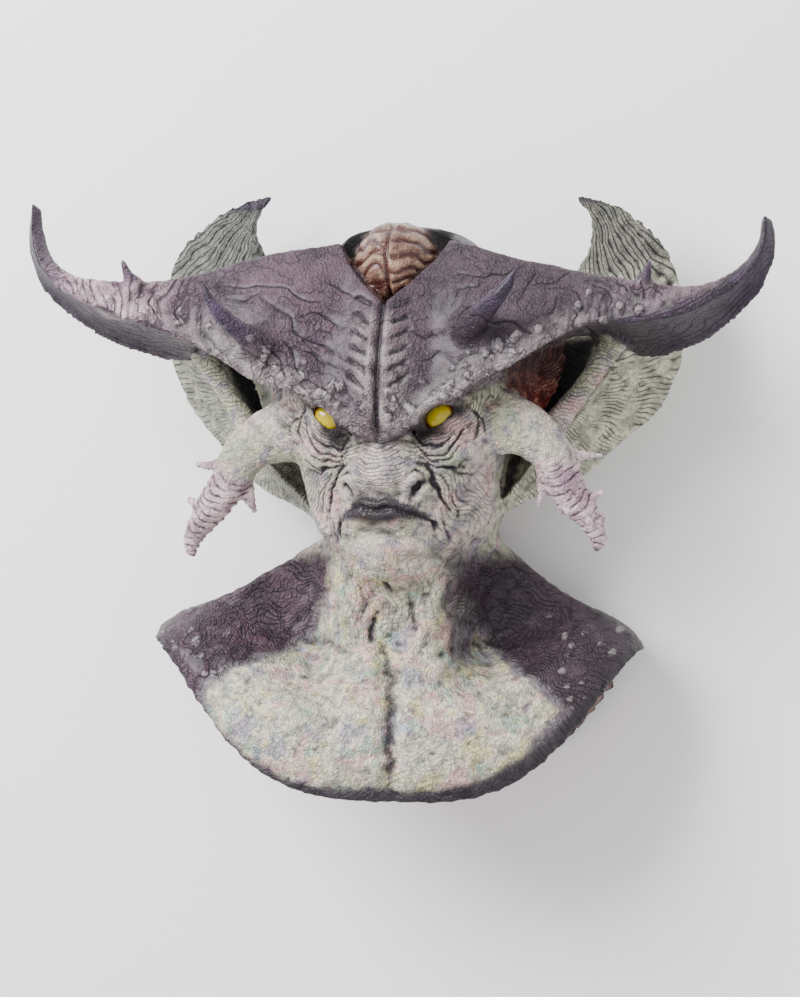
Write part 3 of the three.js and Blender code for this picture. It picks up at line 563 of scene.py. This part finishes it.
for line in (
        [[-164, 204], [-143, 206], [-119, 205], [-96, 200], [-80, 191], [-65, 185]],
        [[-154, 193], [-136, 191], [-115, 200]],
        [[-119, 190], [-102, 179], [-90, 172], [-87, 161], [-74, 149], [-55, 146], [-40, 137], [-27, 127],
         [-13, 116]],
        [[-107, 149], [-102, 140], [-94, 130], [-92, 115]], [[-90, 148], [-82, 140], [-79, 125], [-71, 113]],
        [[-80, 142], [-65, 137], [-52, 125], [-40, 119], [-24, 110]],
        [[-149, 167], [-143, 152], [-129, 140], [-115, 131], [-102, 122]],
        [[-161, 172], [-154, 158], [-144, 148]], [[-179, 185], [-177, 161], [-164, 148], [-146, 131]],
        [[-54, 202], [-44, 194], [-27, 190]], [[-90, 172], [-70, 176], [-56, 168], [-36, 164]],
        [[-200, 196], [-206, 180], [-196, 164]], [[-224, 200], [-229, 186], [-220, 172]],
        [[70, 153], [76, 171], [98, 187], [125, 205]],
        [[71, 208], [95, 208], [101, 213], [115, 211], [130, 216]],
        [[95, 208], [88, 199], [73, 194], [66, 181]],
        [[176, 210], [165, 203], [148, 199], [138, 199]], [[143, 213], [145, 207], [138, 199], [134, 186]],
        [[166, 187], [163, 173], [158, 169]], [[160, 204], [185, 189], [193, 177], [188, 165], [187, 152]],
        [[190, 198], [210, 192], [218, 182], [216, 163]], [[214, 200], [230, 195], [240, 184], [240, 172]],
        [[30, 158], [46, 150], [58, 156], [72, 150]], [[92, 170], [110, 160], [128, 162], [146, 152]],
        [[40, 128], [60, 132], [74, 126], [96, 134]]):
    away, place = polyline(x + 0.8 * sway[:, 1], y + 0.8 * sway[:, 0], line)
    fade = np.sin(np.pi * np.clip(place, 0.08, 0.92)) ** 0.4 * crest
    relief -= 1.1 * fade * np.exp(-((away / 1.7) ** 2))
    fine(away / 6, fade * (1 - step(np.abs(away), 3, 5.5)))

# The ears' ribs fan out from the opening; the fan within it and the spurs have ribs of their own.
ear = on["ear"] * (1 - crest)
low_rib = 24 * np.arctan2(wy - 4 * side - 96, wout - 100) + 0.45 * noise(points, 50, 11)
top_rib = 20 * np.arctan2(wout - 158 - 0.1 * (wy - 300), 318 - wy) + 0.3 * noise(points, 50, 12)
fine(low_rib, 0.85 * ear * (1 - step(y, 182, 190)) * step(noise(points, 18, 25), -0.9, 0.5))
fine(top_rib, ear * step(y, 190, 198))
relief -= 1.2 * grooves(top_rib / 2, 0.26) * ear * step(y, 190, 205)
fine(30 * np.arctan2(wy - 66, wout - 100) + 0.3 * noise(points, 20, 13), 0.9 * on["fan"])
fine(wy / 4.5 + 0.4 * wout / 4.5 + 0.5 * noise(points, 20, 21), 0.5 * on["pillar"] * (1 - crest))
scale = (bar_along + 0.022 * bar_across**2) / 7.2 + 0.25 * noise(points, 22, 14)
spur_line = spur * step(noise(points, 16, 24), -0.8, 0.5) * (1 - step(np.abs(bar_across), 17, 22))
relief += (1.5 * np.exp(-(((scale % 1) / 0.42) ** 2)) - 0.4) * spur
fine(scale + 0.08, 0.7 * spur_line)

# The brain's winding ridges, and the deep furrow between its halves.
gyri = grooves((y + 0.16 * out) / 12.5 + 0.3 * noise(points, 26, 15), 0.22)
gyri *= (1 - hill(x, 0, 3, 1)) * on["brain"]
furrow = np.exp(-((x / 2.4) ** 2)) * on["brain"]
relief += 0.8 * on["brain"] - 2.3 * gyri - 4.0 * furrow
# Ink in the gyri and the furrow, also standing for the shade in them: painted shade.
ink += 0.9 * np.maximum(gyri, furrow)

# The neck and chest: throat slits, cords, the pit at the collar bones and the furrow below it.
front = bust * step(nz, 0.1, 0.4) * outside
for line, width, depth in (
        ([[-16, -108], [-19, -122], [-17, -134]], 3.2, 3.4), ([[-14, -134], [-8, -149], [2, -172]], 4.5, 1.8),
        ([[38, -112], [34, -136], [21, -151], [7, -166]], 4.5, 1.8),
        ([[-4, -78], [-2, -84], [3, -92]], 4.5, 2.6),
        ([[-52, -66], [-44, -92], [-34, -112], [-20, -150]], 5.0, 1.8),
        ([[60, -66], [52, -92], [44, -110]], 5.0, 2.4),
        ([[14, -84], [16, -106], [26, -128]], 4.0, 1.4), ([[-30, -84], [-26, -98], [-30, -112]], 4.0, 1.4),
        ([[-30, -150], [-70, -138], [-110, -146]], 5.0, 1.4),
        ([[34, -150], [70, -140], [112, -146]], 5.0, 1.4),
        ([[2, -166], [4, -200], [7, -240], [8, -276]], 6.5, 2.6)):
    crease(line, width, depth, front, x + 0.4 * sway[:, 0], 0.2)
relief += 3.0 * hill(x - 6, y + 128, 16, 18) * front + 2.2 * hill(x + 34, y + 88, 9, 10) * front
low_left = np.interp(wy, [-280, -272, -262, -224, -190, -175, -161, -150, -140, -131, -103, -69, -55],
                     [-30, -85, -115, -170, -183, -175, -160, -125, -108, -98, -86, -76, -72])
low_right = np.interp(wy, [-280, -272, -255, -234, -200, -185, -170, -150, -125, -103, -69, -55],
                      [30, 91, 120, 146, 166, 152, 120, 92, 68, 60, 56, 54])
chest = step(np.minimum(wx - low_left, low_right - wx), -9, 15) * step(wy, -282, -272)
chest *= step(nz, -0.2, 0.2) * front
shoulders = bust * (1 - chest)
fine((wy + 0.5 * wout) / 5.4 + 1.3 * noise(points, 38, 16),
     0.7 * shoulders * outside * step(noise(points, 24, 22), -0.6, 0.4))
fine(wx / 7 + 0.5 * noise(points, 30, 23), 0.35 * front * step(wy, -150, -120) * (1 - step(out, 56, 72)))

# Warts along the brow and on the shoulders, pimples on the chest: half globes of many sizes.
random = np.random.default_rng(7)
wart_x = np.concatenate([random.uniform(12, 130, 46), random.uniform(120, 330, 20)])
wart_x *= random.choice([-1, 1], 66)
wart_y = np.interp(np.minimum(np.abs(wart_x), 321), *BROW.T) + random.uniform(3, 40, 66)
wart_r = random.uniform(2.0, 4.6, 66)
dots = [(wart_x, wart_y, wart_r, crest)]
dots.append((random.uniform(-160, 160, 46), random.uniform(-265, -180, 46),
             random.uniform(1.8, 3.0, 46), chest))
dots.append((random.uniform(150, 240, 60) * random.choice([-1, 1], 60), random.uniform(-240, -110, 60),
             random.uniform(1.6, 4.0, 60), shoulders))
dots.append((random.uniform(60, 125, 40) * random.choice([-1, 1], 40), random.uniform(20, 100, 40),
             random.uniform(1.0, 2.0, 40), face))
warts = np.zeros(len(points))
for xs, ys, radii, where in dots:
    bump = np.zeros(len(points))
    for dot_x, dot_y, radius in zip(xs, ys, radii):
        beside = ((x - dot_x) ** 2 + (y - dot_y) ** 2) / radius**2
        bump = np.maximum(bump, radius * np.sqrt(np.clip(1 - beside, 0, 1)))
    relief += 0.65 * bump * where * step(nz, 0, 0.3)
    warts = np.maximum(warts, step(bump, 0.4, 2.0) * where * step(nz, 0, 0.3))
relief += (0.5 * noise(points, 17, 17) + 0.3 * noise(points, 8, 18)) * (1 - 0.6 * crest)
relief -= 0.48 * bust * step(-y, 262, 276) * grooves(wx / 9 + 0.6 * noise(points, 30, 19), 0.12)
points += normals * (relief * outside)[:, None]
put(skin, points)

# Paint masks, kept on the points: painted shade gathers in the hollows, and ink, partly painted shade, in
# each drawn line.
points, normals, edges = places(skin)
hollow = np.einsum("ij,ij->i", pull(points, edges), normals)
wide = hollow.copy()
for again in range(8):
    wide += 0.6 * pull(wide[:, None], edges)[:, 0]
wash = np.clip(2.0 * hollow + 8 * wide, 0, 1)
pebbled = crest * (1 - step(y - brow, 8, 38)) * (1 - step(out, 150, 230))
pale_brow = 0.9 * pebbled
pale_brow = np.maximum(pale_brow, crest * (1 - step(out, 8, 34)) * (1 - step(y, 150, 186)))
pillar_x = np.interp(y, [54, 79, 104, 130, 149], [147, 160, 179, 196, 208]) - 6
# Painted shadow: black in the ear's hollow inside its pillar, and in the split crown beside the brain.
pit = step(out, 108, 120) * step(pillar_x - out, -3, 5) * step(y, 58, 72) * (1 - step(y, 150, 160))
pit *= (1 - step(z, 134, 150)) * (1 - on["fan"])
notch = step(np.interp(y, [184, 204, 226, 244, 275], [0, 23, 43, 54, 50]) - out, -1, 2)
notch *= step(y, 184, 190) * (1 - step(y, 256, 262))
pit = np.maximum(pit, notch * (1 - on["brain"]) * step(z, 130, 150))
rim_y = -143 - 142 * (1 - np.clip(np.abs((x + 8) / 241), 0, 1) ** 3.4) ** 1.7 - 0.02 * x
rim = bust * (1 - step(y - rim_y, 7, 17))
# Painted shadow in each eye's inner corner, under the brow.
corner_shadow = np.exp(-(((lid_u + 15) / 21) ** 2 + ((lid_v + 7) / 11.5) ** 2) ** 2)
corner_shadow *= (1 - step(y - brow, 2, 8)) * outside * step(z, 150, 175)
lips_top = np.interp(wx, [-42, -36, -31, -23, -14, -5, 3, 10, 21, 31, 41, 46],
                     [-20, -15, -6, 1, 0, -2, 0, 1, -3, -10, -16, -21])
lips_low = np.interp(wx, [-42, -32, -19, -7, 6, 20, 38, 46], [-22, -20, -21, -25, -22, -20, -21, -23])
lips = mouth * step(y - lips_low, -2, 3) * (1 - step(y - lips_top, 0.5, 3.5))
lips *= 1 - step(np.abs(wx - 2), 38, 44)
thorn = crest * step(y + 8 * (side > 0), 201, 212) * step(out, 234, 244) * (1 - step(out, 268, 280))
tip = np.maximum.reduce([crest * step(out, 300, 350), spur * step(bar_place, 0.93, 1.0), 0.9 * thorn,
                         on["spike"] * step(z, 250, 276), on["ear"] * step(y, 284, 296)])
# socket: painted shadow round each eye's opening and in its inner corner.
masks = {
    "purple": np.maximum(crest, shoulders * outside), "paler": pale_brow, "chest": chest,
    "horn": crest * step(out, 190, 260) * (1 - fin), "fin": fin, "ear": ear,
    "tip": tip, "spur": spur, "lips": lips, "fan": on["fan"] * step(side, -1, 1), "brain": on["brain"],
    "lining": on["lining"], "wash": wash, "ink": np.clip(ink, 0, 1), "pit": np.clip(pit, 0, 1),
    "socket": np.maximum((1 - step(lid, 1.1, 1.9)) * np.maximum(face, on["lid"]), corner_shadow), "warts": warts,
    "pebbled": pebbled, "rim": rim, "phase": phase, "drawn": drawn}
for name, values in masks.items():
    skin.data.attributes.new(name, "FLOAT", "POINT").data.foreach_set("value", values.astype(np.float32))
most_triangles = 192000
thin = skin.modifiers.new("thin", "DECIMATE")
thin.ratio = min(1.0, most_triangles / (2 * len(skin.data.polygons)))
evaluated(skin)
skin.data.polygons.foreach_set("use_smooth", np.ones(len(skin.data.polygons), bool))
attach(skin, "root")
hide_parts("mask_skin")


class Shade:
    """A value in a material. Sums on it make Math nodes, and make() gives any other node."""

    tree = None

    def __init__(self, socket):
        self.socket = socket

    @classmethod
    def make(cls, kind, settings=None, output=0, **values):
        """A node of a kind, its settings, its inputs' values or links by name or place; gives one output."""
        node = cls.tree.nodes.new(kind)
        for key, value in (settings or {}).items():
            setattr(node, key, value)
        for key, value in values.items():
            place = int(key[1:]) if key[1:].isdigit() else key.replace("_", " ")
            if isinstance(value, Shade):
                cls.tree.links.new(value.socket, node.inputs[place])
            else:
                node.inputs[place].default_value = value
        return cls(node.outputs[output]) if node.outputs else node

    def maths(self, kind, *terms):
        """A Math node of a kind over this value and the terms."""
        inputs = {f"i{k}": term for k, term in enumerate((self, *terms))}
        return self.make("ShaderNodeMath", {"operation": kind}, **inputs)

    def __add__(self, other):
        return self.maths("ADD", other)

    def __mul__(self, other):
        return self.maths("MULTIPLY", other)

    def __sub__(self, other):
        return self.maths("SUBTRACT", other)

    def __rsub__(self, other):
        return (self * -1.0) + other

    def __abs__(self):
        return self.maths("ABSOLUTE")

    __radd__, __rmul__ = __add__, __mul__

    def ramp(self, low, high):
        """From 0 to 1 as the value goes from low to high, level at both ends."""
        return self.make("ShaderNodeMapRange", {"interpolation_type": "SMOOTHSTEP"}, Value=self, From_Min=low,
                         From_Max=high)

    def between(self, first, second):
        """From the first colour to the second as the value goes from 0 to 1."""
        return self.make("ShaderNodeMix", {"data_type": "RGBA"}, 2, i0=self, i6=first, i7=second)


def colour(red, green, blue):
    """A colour given as it looks on a screen, 0 to 255, as the linear light that a material takes."""
    return tuple(((v / 255 + 0.055) / 1.055) ** 2.4 for v in (red, green, blue)) + (1,)


def material(name):
    """A new material with an empty tree, which Shade then builds in."""
    made = bpy.data.materials.new(name)
    made.use_nodes = True
    made.node_tree.nodes.clear()
    Shade.tree = made.node_tree
    return made


# The skin's paint: a ground colour for each form and place, then pebbles, veins, painted shade in the
# hollows, lines and creases darkened partly as painted shade, and painted shadow round the eyes and in the
# pits.
latex = material("painted_latex")
mask = {name: Shade.make("ShaderNodeAttribute", {"attribute_name": name}, 2) for name in masks}
where = Shade.make("ShaderNodeTexCoord", output=3)
across = Shade.make("ShaderNodeSeparateXYZ", Vector=where)
up = Shade(across.socket.node.outputs[1])


def clouds(size, detail=4.0, at=where):
    """A noise texture whose largest patches are about size millimetres."""
    return Shade.make("ShaderNodeTexNoise", Vector=at, Scale=1000.0 / size, Detail=detail, Roughness=0.6)


bent = Shade.make("ShaderNodeVectorMath", {"operation": "MULTIPLY_ADD"}, i1=(0.03, 0.03, 0.03), i2=where,
                  i0=Shade.make("ShaderNodeTexNoise", None, 1, Vector=where, Scale=24.0, Detail=4.0))
patch, mottle, fleck, grain = clouds(70), clouds(16, 6.0), clouds(7, 3.0), clouds(2.6, 3.0)
wrinkle = 1 - abs(clouds(30, 3.0, bent) - 0.5).ramp(0.0, 0.022)
wrinkle_fine = 1 - abs(clouds(9, 3.0, bent) - 0.5).ramp(0.0, 0.05)
cells = Shade.make("ShaderNodeTexVoronoi", {"feature": "DISTANCE_TO_EDGE"}, Vector=bent, Scale=48.0)
net = 1 - cells.ramp(0.0, 0.045)
leather = Shade.make("ShaderNodeTexVoronoi", {"feature": "SMOOTH_F1"}, Vector=where, Scale=420.0,
                     Smoothness=0.4)
netted = net * clouds(110, 2.0).ramp(0.5, 0.6)
pebble = 1 - Shade.make("ShaderNodeTexVoronoi", None, Vector=bent, Scale=190.0).ramp(0.1, 0.5)
line = abs(mask["phase"].maths("FRACT") - 0.5).ramp(0.3, 0.5) * mask["drawn"]
line = line * (clouds(14).ramp(0.3, 0.5) * 0.6 + 0.4)

pale = patch.ramp(0.4, 0.6).between(colour(176, 176, 150), colour(206, 188, 184))
pale = (mottle.ramp(0.48, 0.62) * 0.8).between(pale, colour(132, 126, 140))
pale = (clouds(34).ramp(0.54, 0.64) * 0.6).between(pale, colour(206, 160, 152))
pale = (clouds(26).ramp(0.55, 0.66) * 0.55).between(pale, colour(138, 152, 128))
pale = (wrinkle_fine * 0.28).between(pale, colour(92, 88, 96))
cream = clouds(60).ramp(0.4, 0.6).between(colour(194, 194, 170), colour(224, 212, 194))
cream = (mottle.ramp(0.46, 0.6) * 0.6).between(cream, colour(140, 136, 128))
cream = (clouds(30, 5.0).ramp(0.52, 0.6) * 0.7).between(cream, colour(206, 160, 156))
cream = (clouds(26, 5.0).ramp(0.55, 0.62) * 0.7).between(cream, colour(146, 178, 162))
cream = (clouds(36, 5.0).ramp(0.54, 0.63) * 0.65).between(cream, colour(136, 138, 162))
cream = (clouds(24, 5.0).ramp(0.55, 0.63) * 0.65).between(cream, colour(212, 200, 140))
cream = (wrinkle_fine * 0.38).between(cream, colour(96, 90, 94))
purple = clouds(44).ramp(0.38, 0.62).between(colour(42, 26, 38), colour(76, 54, 68))
purple = (mottle.ramp(0.5, 0.62) * 0.35).between(purple, colour(98, 78, 90))
purple = (grain.ramp(0.54, 0.66) * 0.3).between(purple, colour(122, 102, 114))
# Painted shade: the purple is darker towards the +X side, the side turned away from the key light.
purple = (across.ramp(-0.12, 0.1) * 0.6).between(purple, colour(40, 27, 37))
bare = (mottle.ramp(0.4, 0.6)).between(colour(98, 84, 88), colour(156, 144, 144))
violet = mottle.ramp(0.3, 0.7).between(colour(24, 15, 34), colour(62, 42, 72))
rose = mottle.ramp(0.35, 0.65).between(colour(232, 204, 214), colour(170, 132, 150))
frill = mottle.ramp(0.4, 0.6).between(colour(166, 166, 146), colour(216, 212, 190))
frill = (up.ramp(0.17, 0.23) * 0.8).between(frill, colour(70, 71, 66))
frill = (0.45 - across.ramp(-0.12, 0.0) * 0.45).between(frill, colour(112, 118, 114))
red = clouds(9).ramp(0.42, 0.62).between(colour(136, 36, 32), colour(214, 146, 122))
red = (up.ramp(0.07, 0.115) * 0.85).between(red, colour(40, 24, 24))
meat = mottle.ramp(0.35, 0.65).between(colour(94, 60, 50), colour(160, 128, 106))
base = mask["chest"].between(pale, cream)
base = mask["ear"].between(base, frill)
base = mask["purple"].between(base, purple)
seam = mask["chest"] * (1 - mask["chest"]) * (1 - up.ramp(-0.13, -0.1))
base = (seam * 2.8).between(base, colour(88, 84, 98))
base = (mask["paler"] * 0.65).between(base, bare)
base = (pebble * mask["pebbled"] * 0.4).between(base, colour(180, 172, 172))
base = (mask["warts"] * 0.28).between(base, colour(200, 190, 192))
# The rose fades on the +X horn: painted shade on the horn turned away from the key light.
base = (mask["horn"] * (0.65 - across.ramp(0.0, 0.2) * 0.5)).between(base, rose)
base = (mask["fin"] * 0.5).between(base, violet)
base = (mask["spur"] * 0.75).between(base, rose)
base = (mask["tip"] * 0.9).between(base, violet)
plum = mottle.ramp(0.4, 0.6).between(colour(8, 4, 14), colour(36, 24, 46))
base = (mask["lips"] * 0.95).between(base, plum)
base = mask["fan"].between(base, red)
base = mask["brain"].between(base, meat)
base = (mask["purple"] * netted * 0.8).between(base, colour(48, 38, 52))
base = (mask["purple"] * wrinkle * 0.6).between(base, colour(56, 44, 60))
# The dark of the painted shade in the hollows and creases, and of the drawn lines.
dark = mask["brain"].between(colour(36, 28, 38), colour(66, 22, 18))
# Painted shade, darkest in the hollows.
base = (mask["wash"] * 0.9).between(base, dark)
base = (line * 0.9).between(base, dark)
# Ink along the creases and grooves, partly painted shade.
base = (mask["ink"].ramp(0.1, 0.8) * 0.95).between(base, dark)
# Painted shadow round each eye's opening and in its inner corner.
base = (mask["socket"] * 0.96).between(base, colour(8, 4, 8))
base = (mask["rim"] * 0.8).between(base, colour(36, 28, 38))
# Painted shadow in the ear hollows and the split crown.
base = mask["pit"].between(base, colour(7, 5, 6))
base = mask["lining"].between(base, colour(176, 138, 126))
height = grain * 0.4 + fleck * 0.4 + leather * 0.8 - wrinkle_fine * (1 - mask["purple"]) * 0.4 - line * 1.3
height = height - mask["purple"] * (netted * 0.9 + wrinkle * 0.8)
height = height + pebble * (mask["pebbled"] * 0.8 + mask["chest"] * 0.5)
bump = Shade.make("ShaderNodeBump", Height=height * (1 - mask["lining"]), Distance=0.0017, Strength=1.0)
rough = 0.48 + fleck * 0.16 - mask["brain"] * 0.2 - mask["lips"] * 0.08
rough = rough + mask["pit"] * 0.4 + mask["socket"] * 0.3
coat = 0.1 + mask["purple"] * 0.12 + mask["brain"] * 0.4 + mask["lips"] * 0.1
coat = coat * (1 - mask["pit"]) * (1 - mask["socket"])
shader = Shade.make("ShaderNodeBsdfPrincipled", Base_Color=base, Roughness=rough, Normal=bump,
                    Coat_Roughness=0.25, Specular_IOR_Level=0.35, Coat_Weight=coat)
Shade.make("ShaderNodeOutputMaterial", Surface=shader)
skin.data.materials.clear()
skin.data.materials.append(latex)

# eye_left, eye_right: half-round eyes of clear-coated yellow, darker towards the rim, set in from behind.
# Their domes are rings from the rim to the middle, and both share one material.
resin = material("yellow_eye")
middle = (PLACE + EYE) / 1000
where = Shade.make("ShaderNodeTexCoord", output=3)
across = Shade.make("ShaderNodeSeparateXYZ", Vector=where)
up = Shade(across.socket.node.outputs[1])
away = (abs(across - PLACE[0] / 1000) - EYE[0] / 1000).maths("POWER", 2.0)
away = (away + (up - middle[1]).maths("POWER", 2.0)).maths("SQRT")
streaks = Shade.make("ShaderNodeTexNoise", Vector=where, Scale=300.0, Detail=3.0)
yellow = streaks.ramp(0.4, 0.75).between(colour(192, 176, 0), colour(178, 144, 0))
yellow = away.ramp(0.0095, 0.0145).between(yellow, colour(130, 56, 0))
shader = Shade.make("ShaderNodeBsdfPrincipled", Base_Color=yellow, Roughness=0.16 + streaks * 0.06,
                    Coat_Weight=0.3, Coat_Roughness=0.03)
Shade.make("ShaderNodeOutputMaterial", Surface=shader)
for name, side in (("eye_left", -1), ("eye_right", 1)):
    angle = np.linspace(0, np.pi / 2, 30)[:, None]
    turn_round = np.linspace(0, 2 * np.pi, 72, endpoint=False)[None]
    dome = np.stack([side * EYE[0] + EYE_RADIUS * np.cos(angle) * np.cos(turn_round),
                     EYE[1] + EYE_RADIUS * np.cos(angle) * np.sin(turn_round),
                     EYE[2] + EYE_DOME * np.sin(angle) + 0 * turn_round], -1)
    eye = mesh_of(name + "_dome", *closed(dome))
    eye.data.polygons.foreach_set("use_smooth", np.ones(len(eye.data.polygons), bool))
    eye.data.materials.append(resin)
    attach(eye, "root")
    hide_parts(name)

# The floor, the lights and the camera, which leans 15 degrees to +X. Its focal length and shift are counted
# in the photo's pixels, and its distance in millimetres from the neck's axis.
bpy.ops.mesh.primitive_plane_add(size=8)
floor = bpy.context.object
floor.name = "floor"
paper = material("pale_floor")
shader = Shade.make("ShaderNodeBsdfPrincipled", Base_Color=colour(255, 255, 255), Roughness=0.9)
Shade.make("ShaderNodeOutputMaterial", Surface=shader)
floor.data.materials.append(paper)
for name, place, size, power in (("key", (-1.5, 1.5, 2.2), 1.7, 185), ("fill", (1.8, -0.6, 2.4), 2.0, 12)):
    light = bpy.data.lights.new(name, "AREA")
    light.size, light.energy = size, power
    lamp = bpy.data.objects.new(name, light)
    lamp.location = place
    lamp.rotation_euler = (-Matrix.Translation(place).translation).to_track_quat("-Z", "Y").to_euler()
    bpy.context.collection.objects.link(lamp)
world = bpy.data.worlds.new("studio")
world.use_nodes = True
world.node_tree.nodes["Background"].inputs[0].default_value = (1, 1, 1, 1)
world.node_tree.nodes["Background"].inputs[1].default_value = 0.95
bpy.context.scene.world = world
PHOTO_HEIGHT, FOCAL_PIXELS, SHIFT_PIXELS, DISTANCE = 997, 2473, -3, 2396.6
lean = math.radians(15)
out = np.array([math.sin(lean), 0, math.cos(lean)])
eye_point = (PLACE + [0, 0, AXIS_Z] + DISTANCE * out) / 1000
camera = bpy.data.objects.new("camera", bpy.data.cameras.new("camera"))
camera.matrix_world = Matrix(((math.cos(lean), 0, out[0], eye_point[0]), (0, 1, 0, eye_point[1]),
                              (-math.sin(lean), 0, out[2], eye_point[2]), (0, 0, 0, 1)))
camera.data.sensor_width = 36
camera.data.lens = FOCAL_PIXELS / PHOTO_HEIGHT * camera.data.sensor_width
camera.data.shift_x = SHIFT_PIXELS / PHOTO_HEIGHT
bpy.context.collection.objects.link(camera)
bpy.context.scene.camera = camera
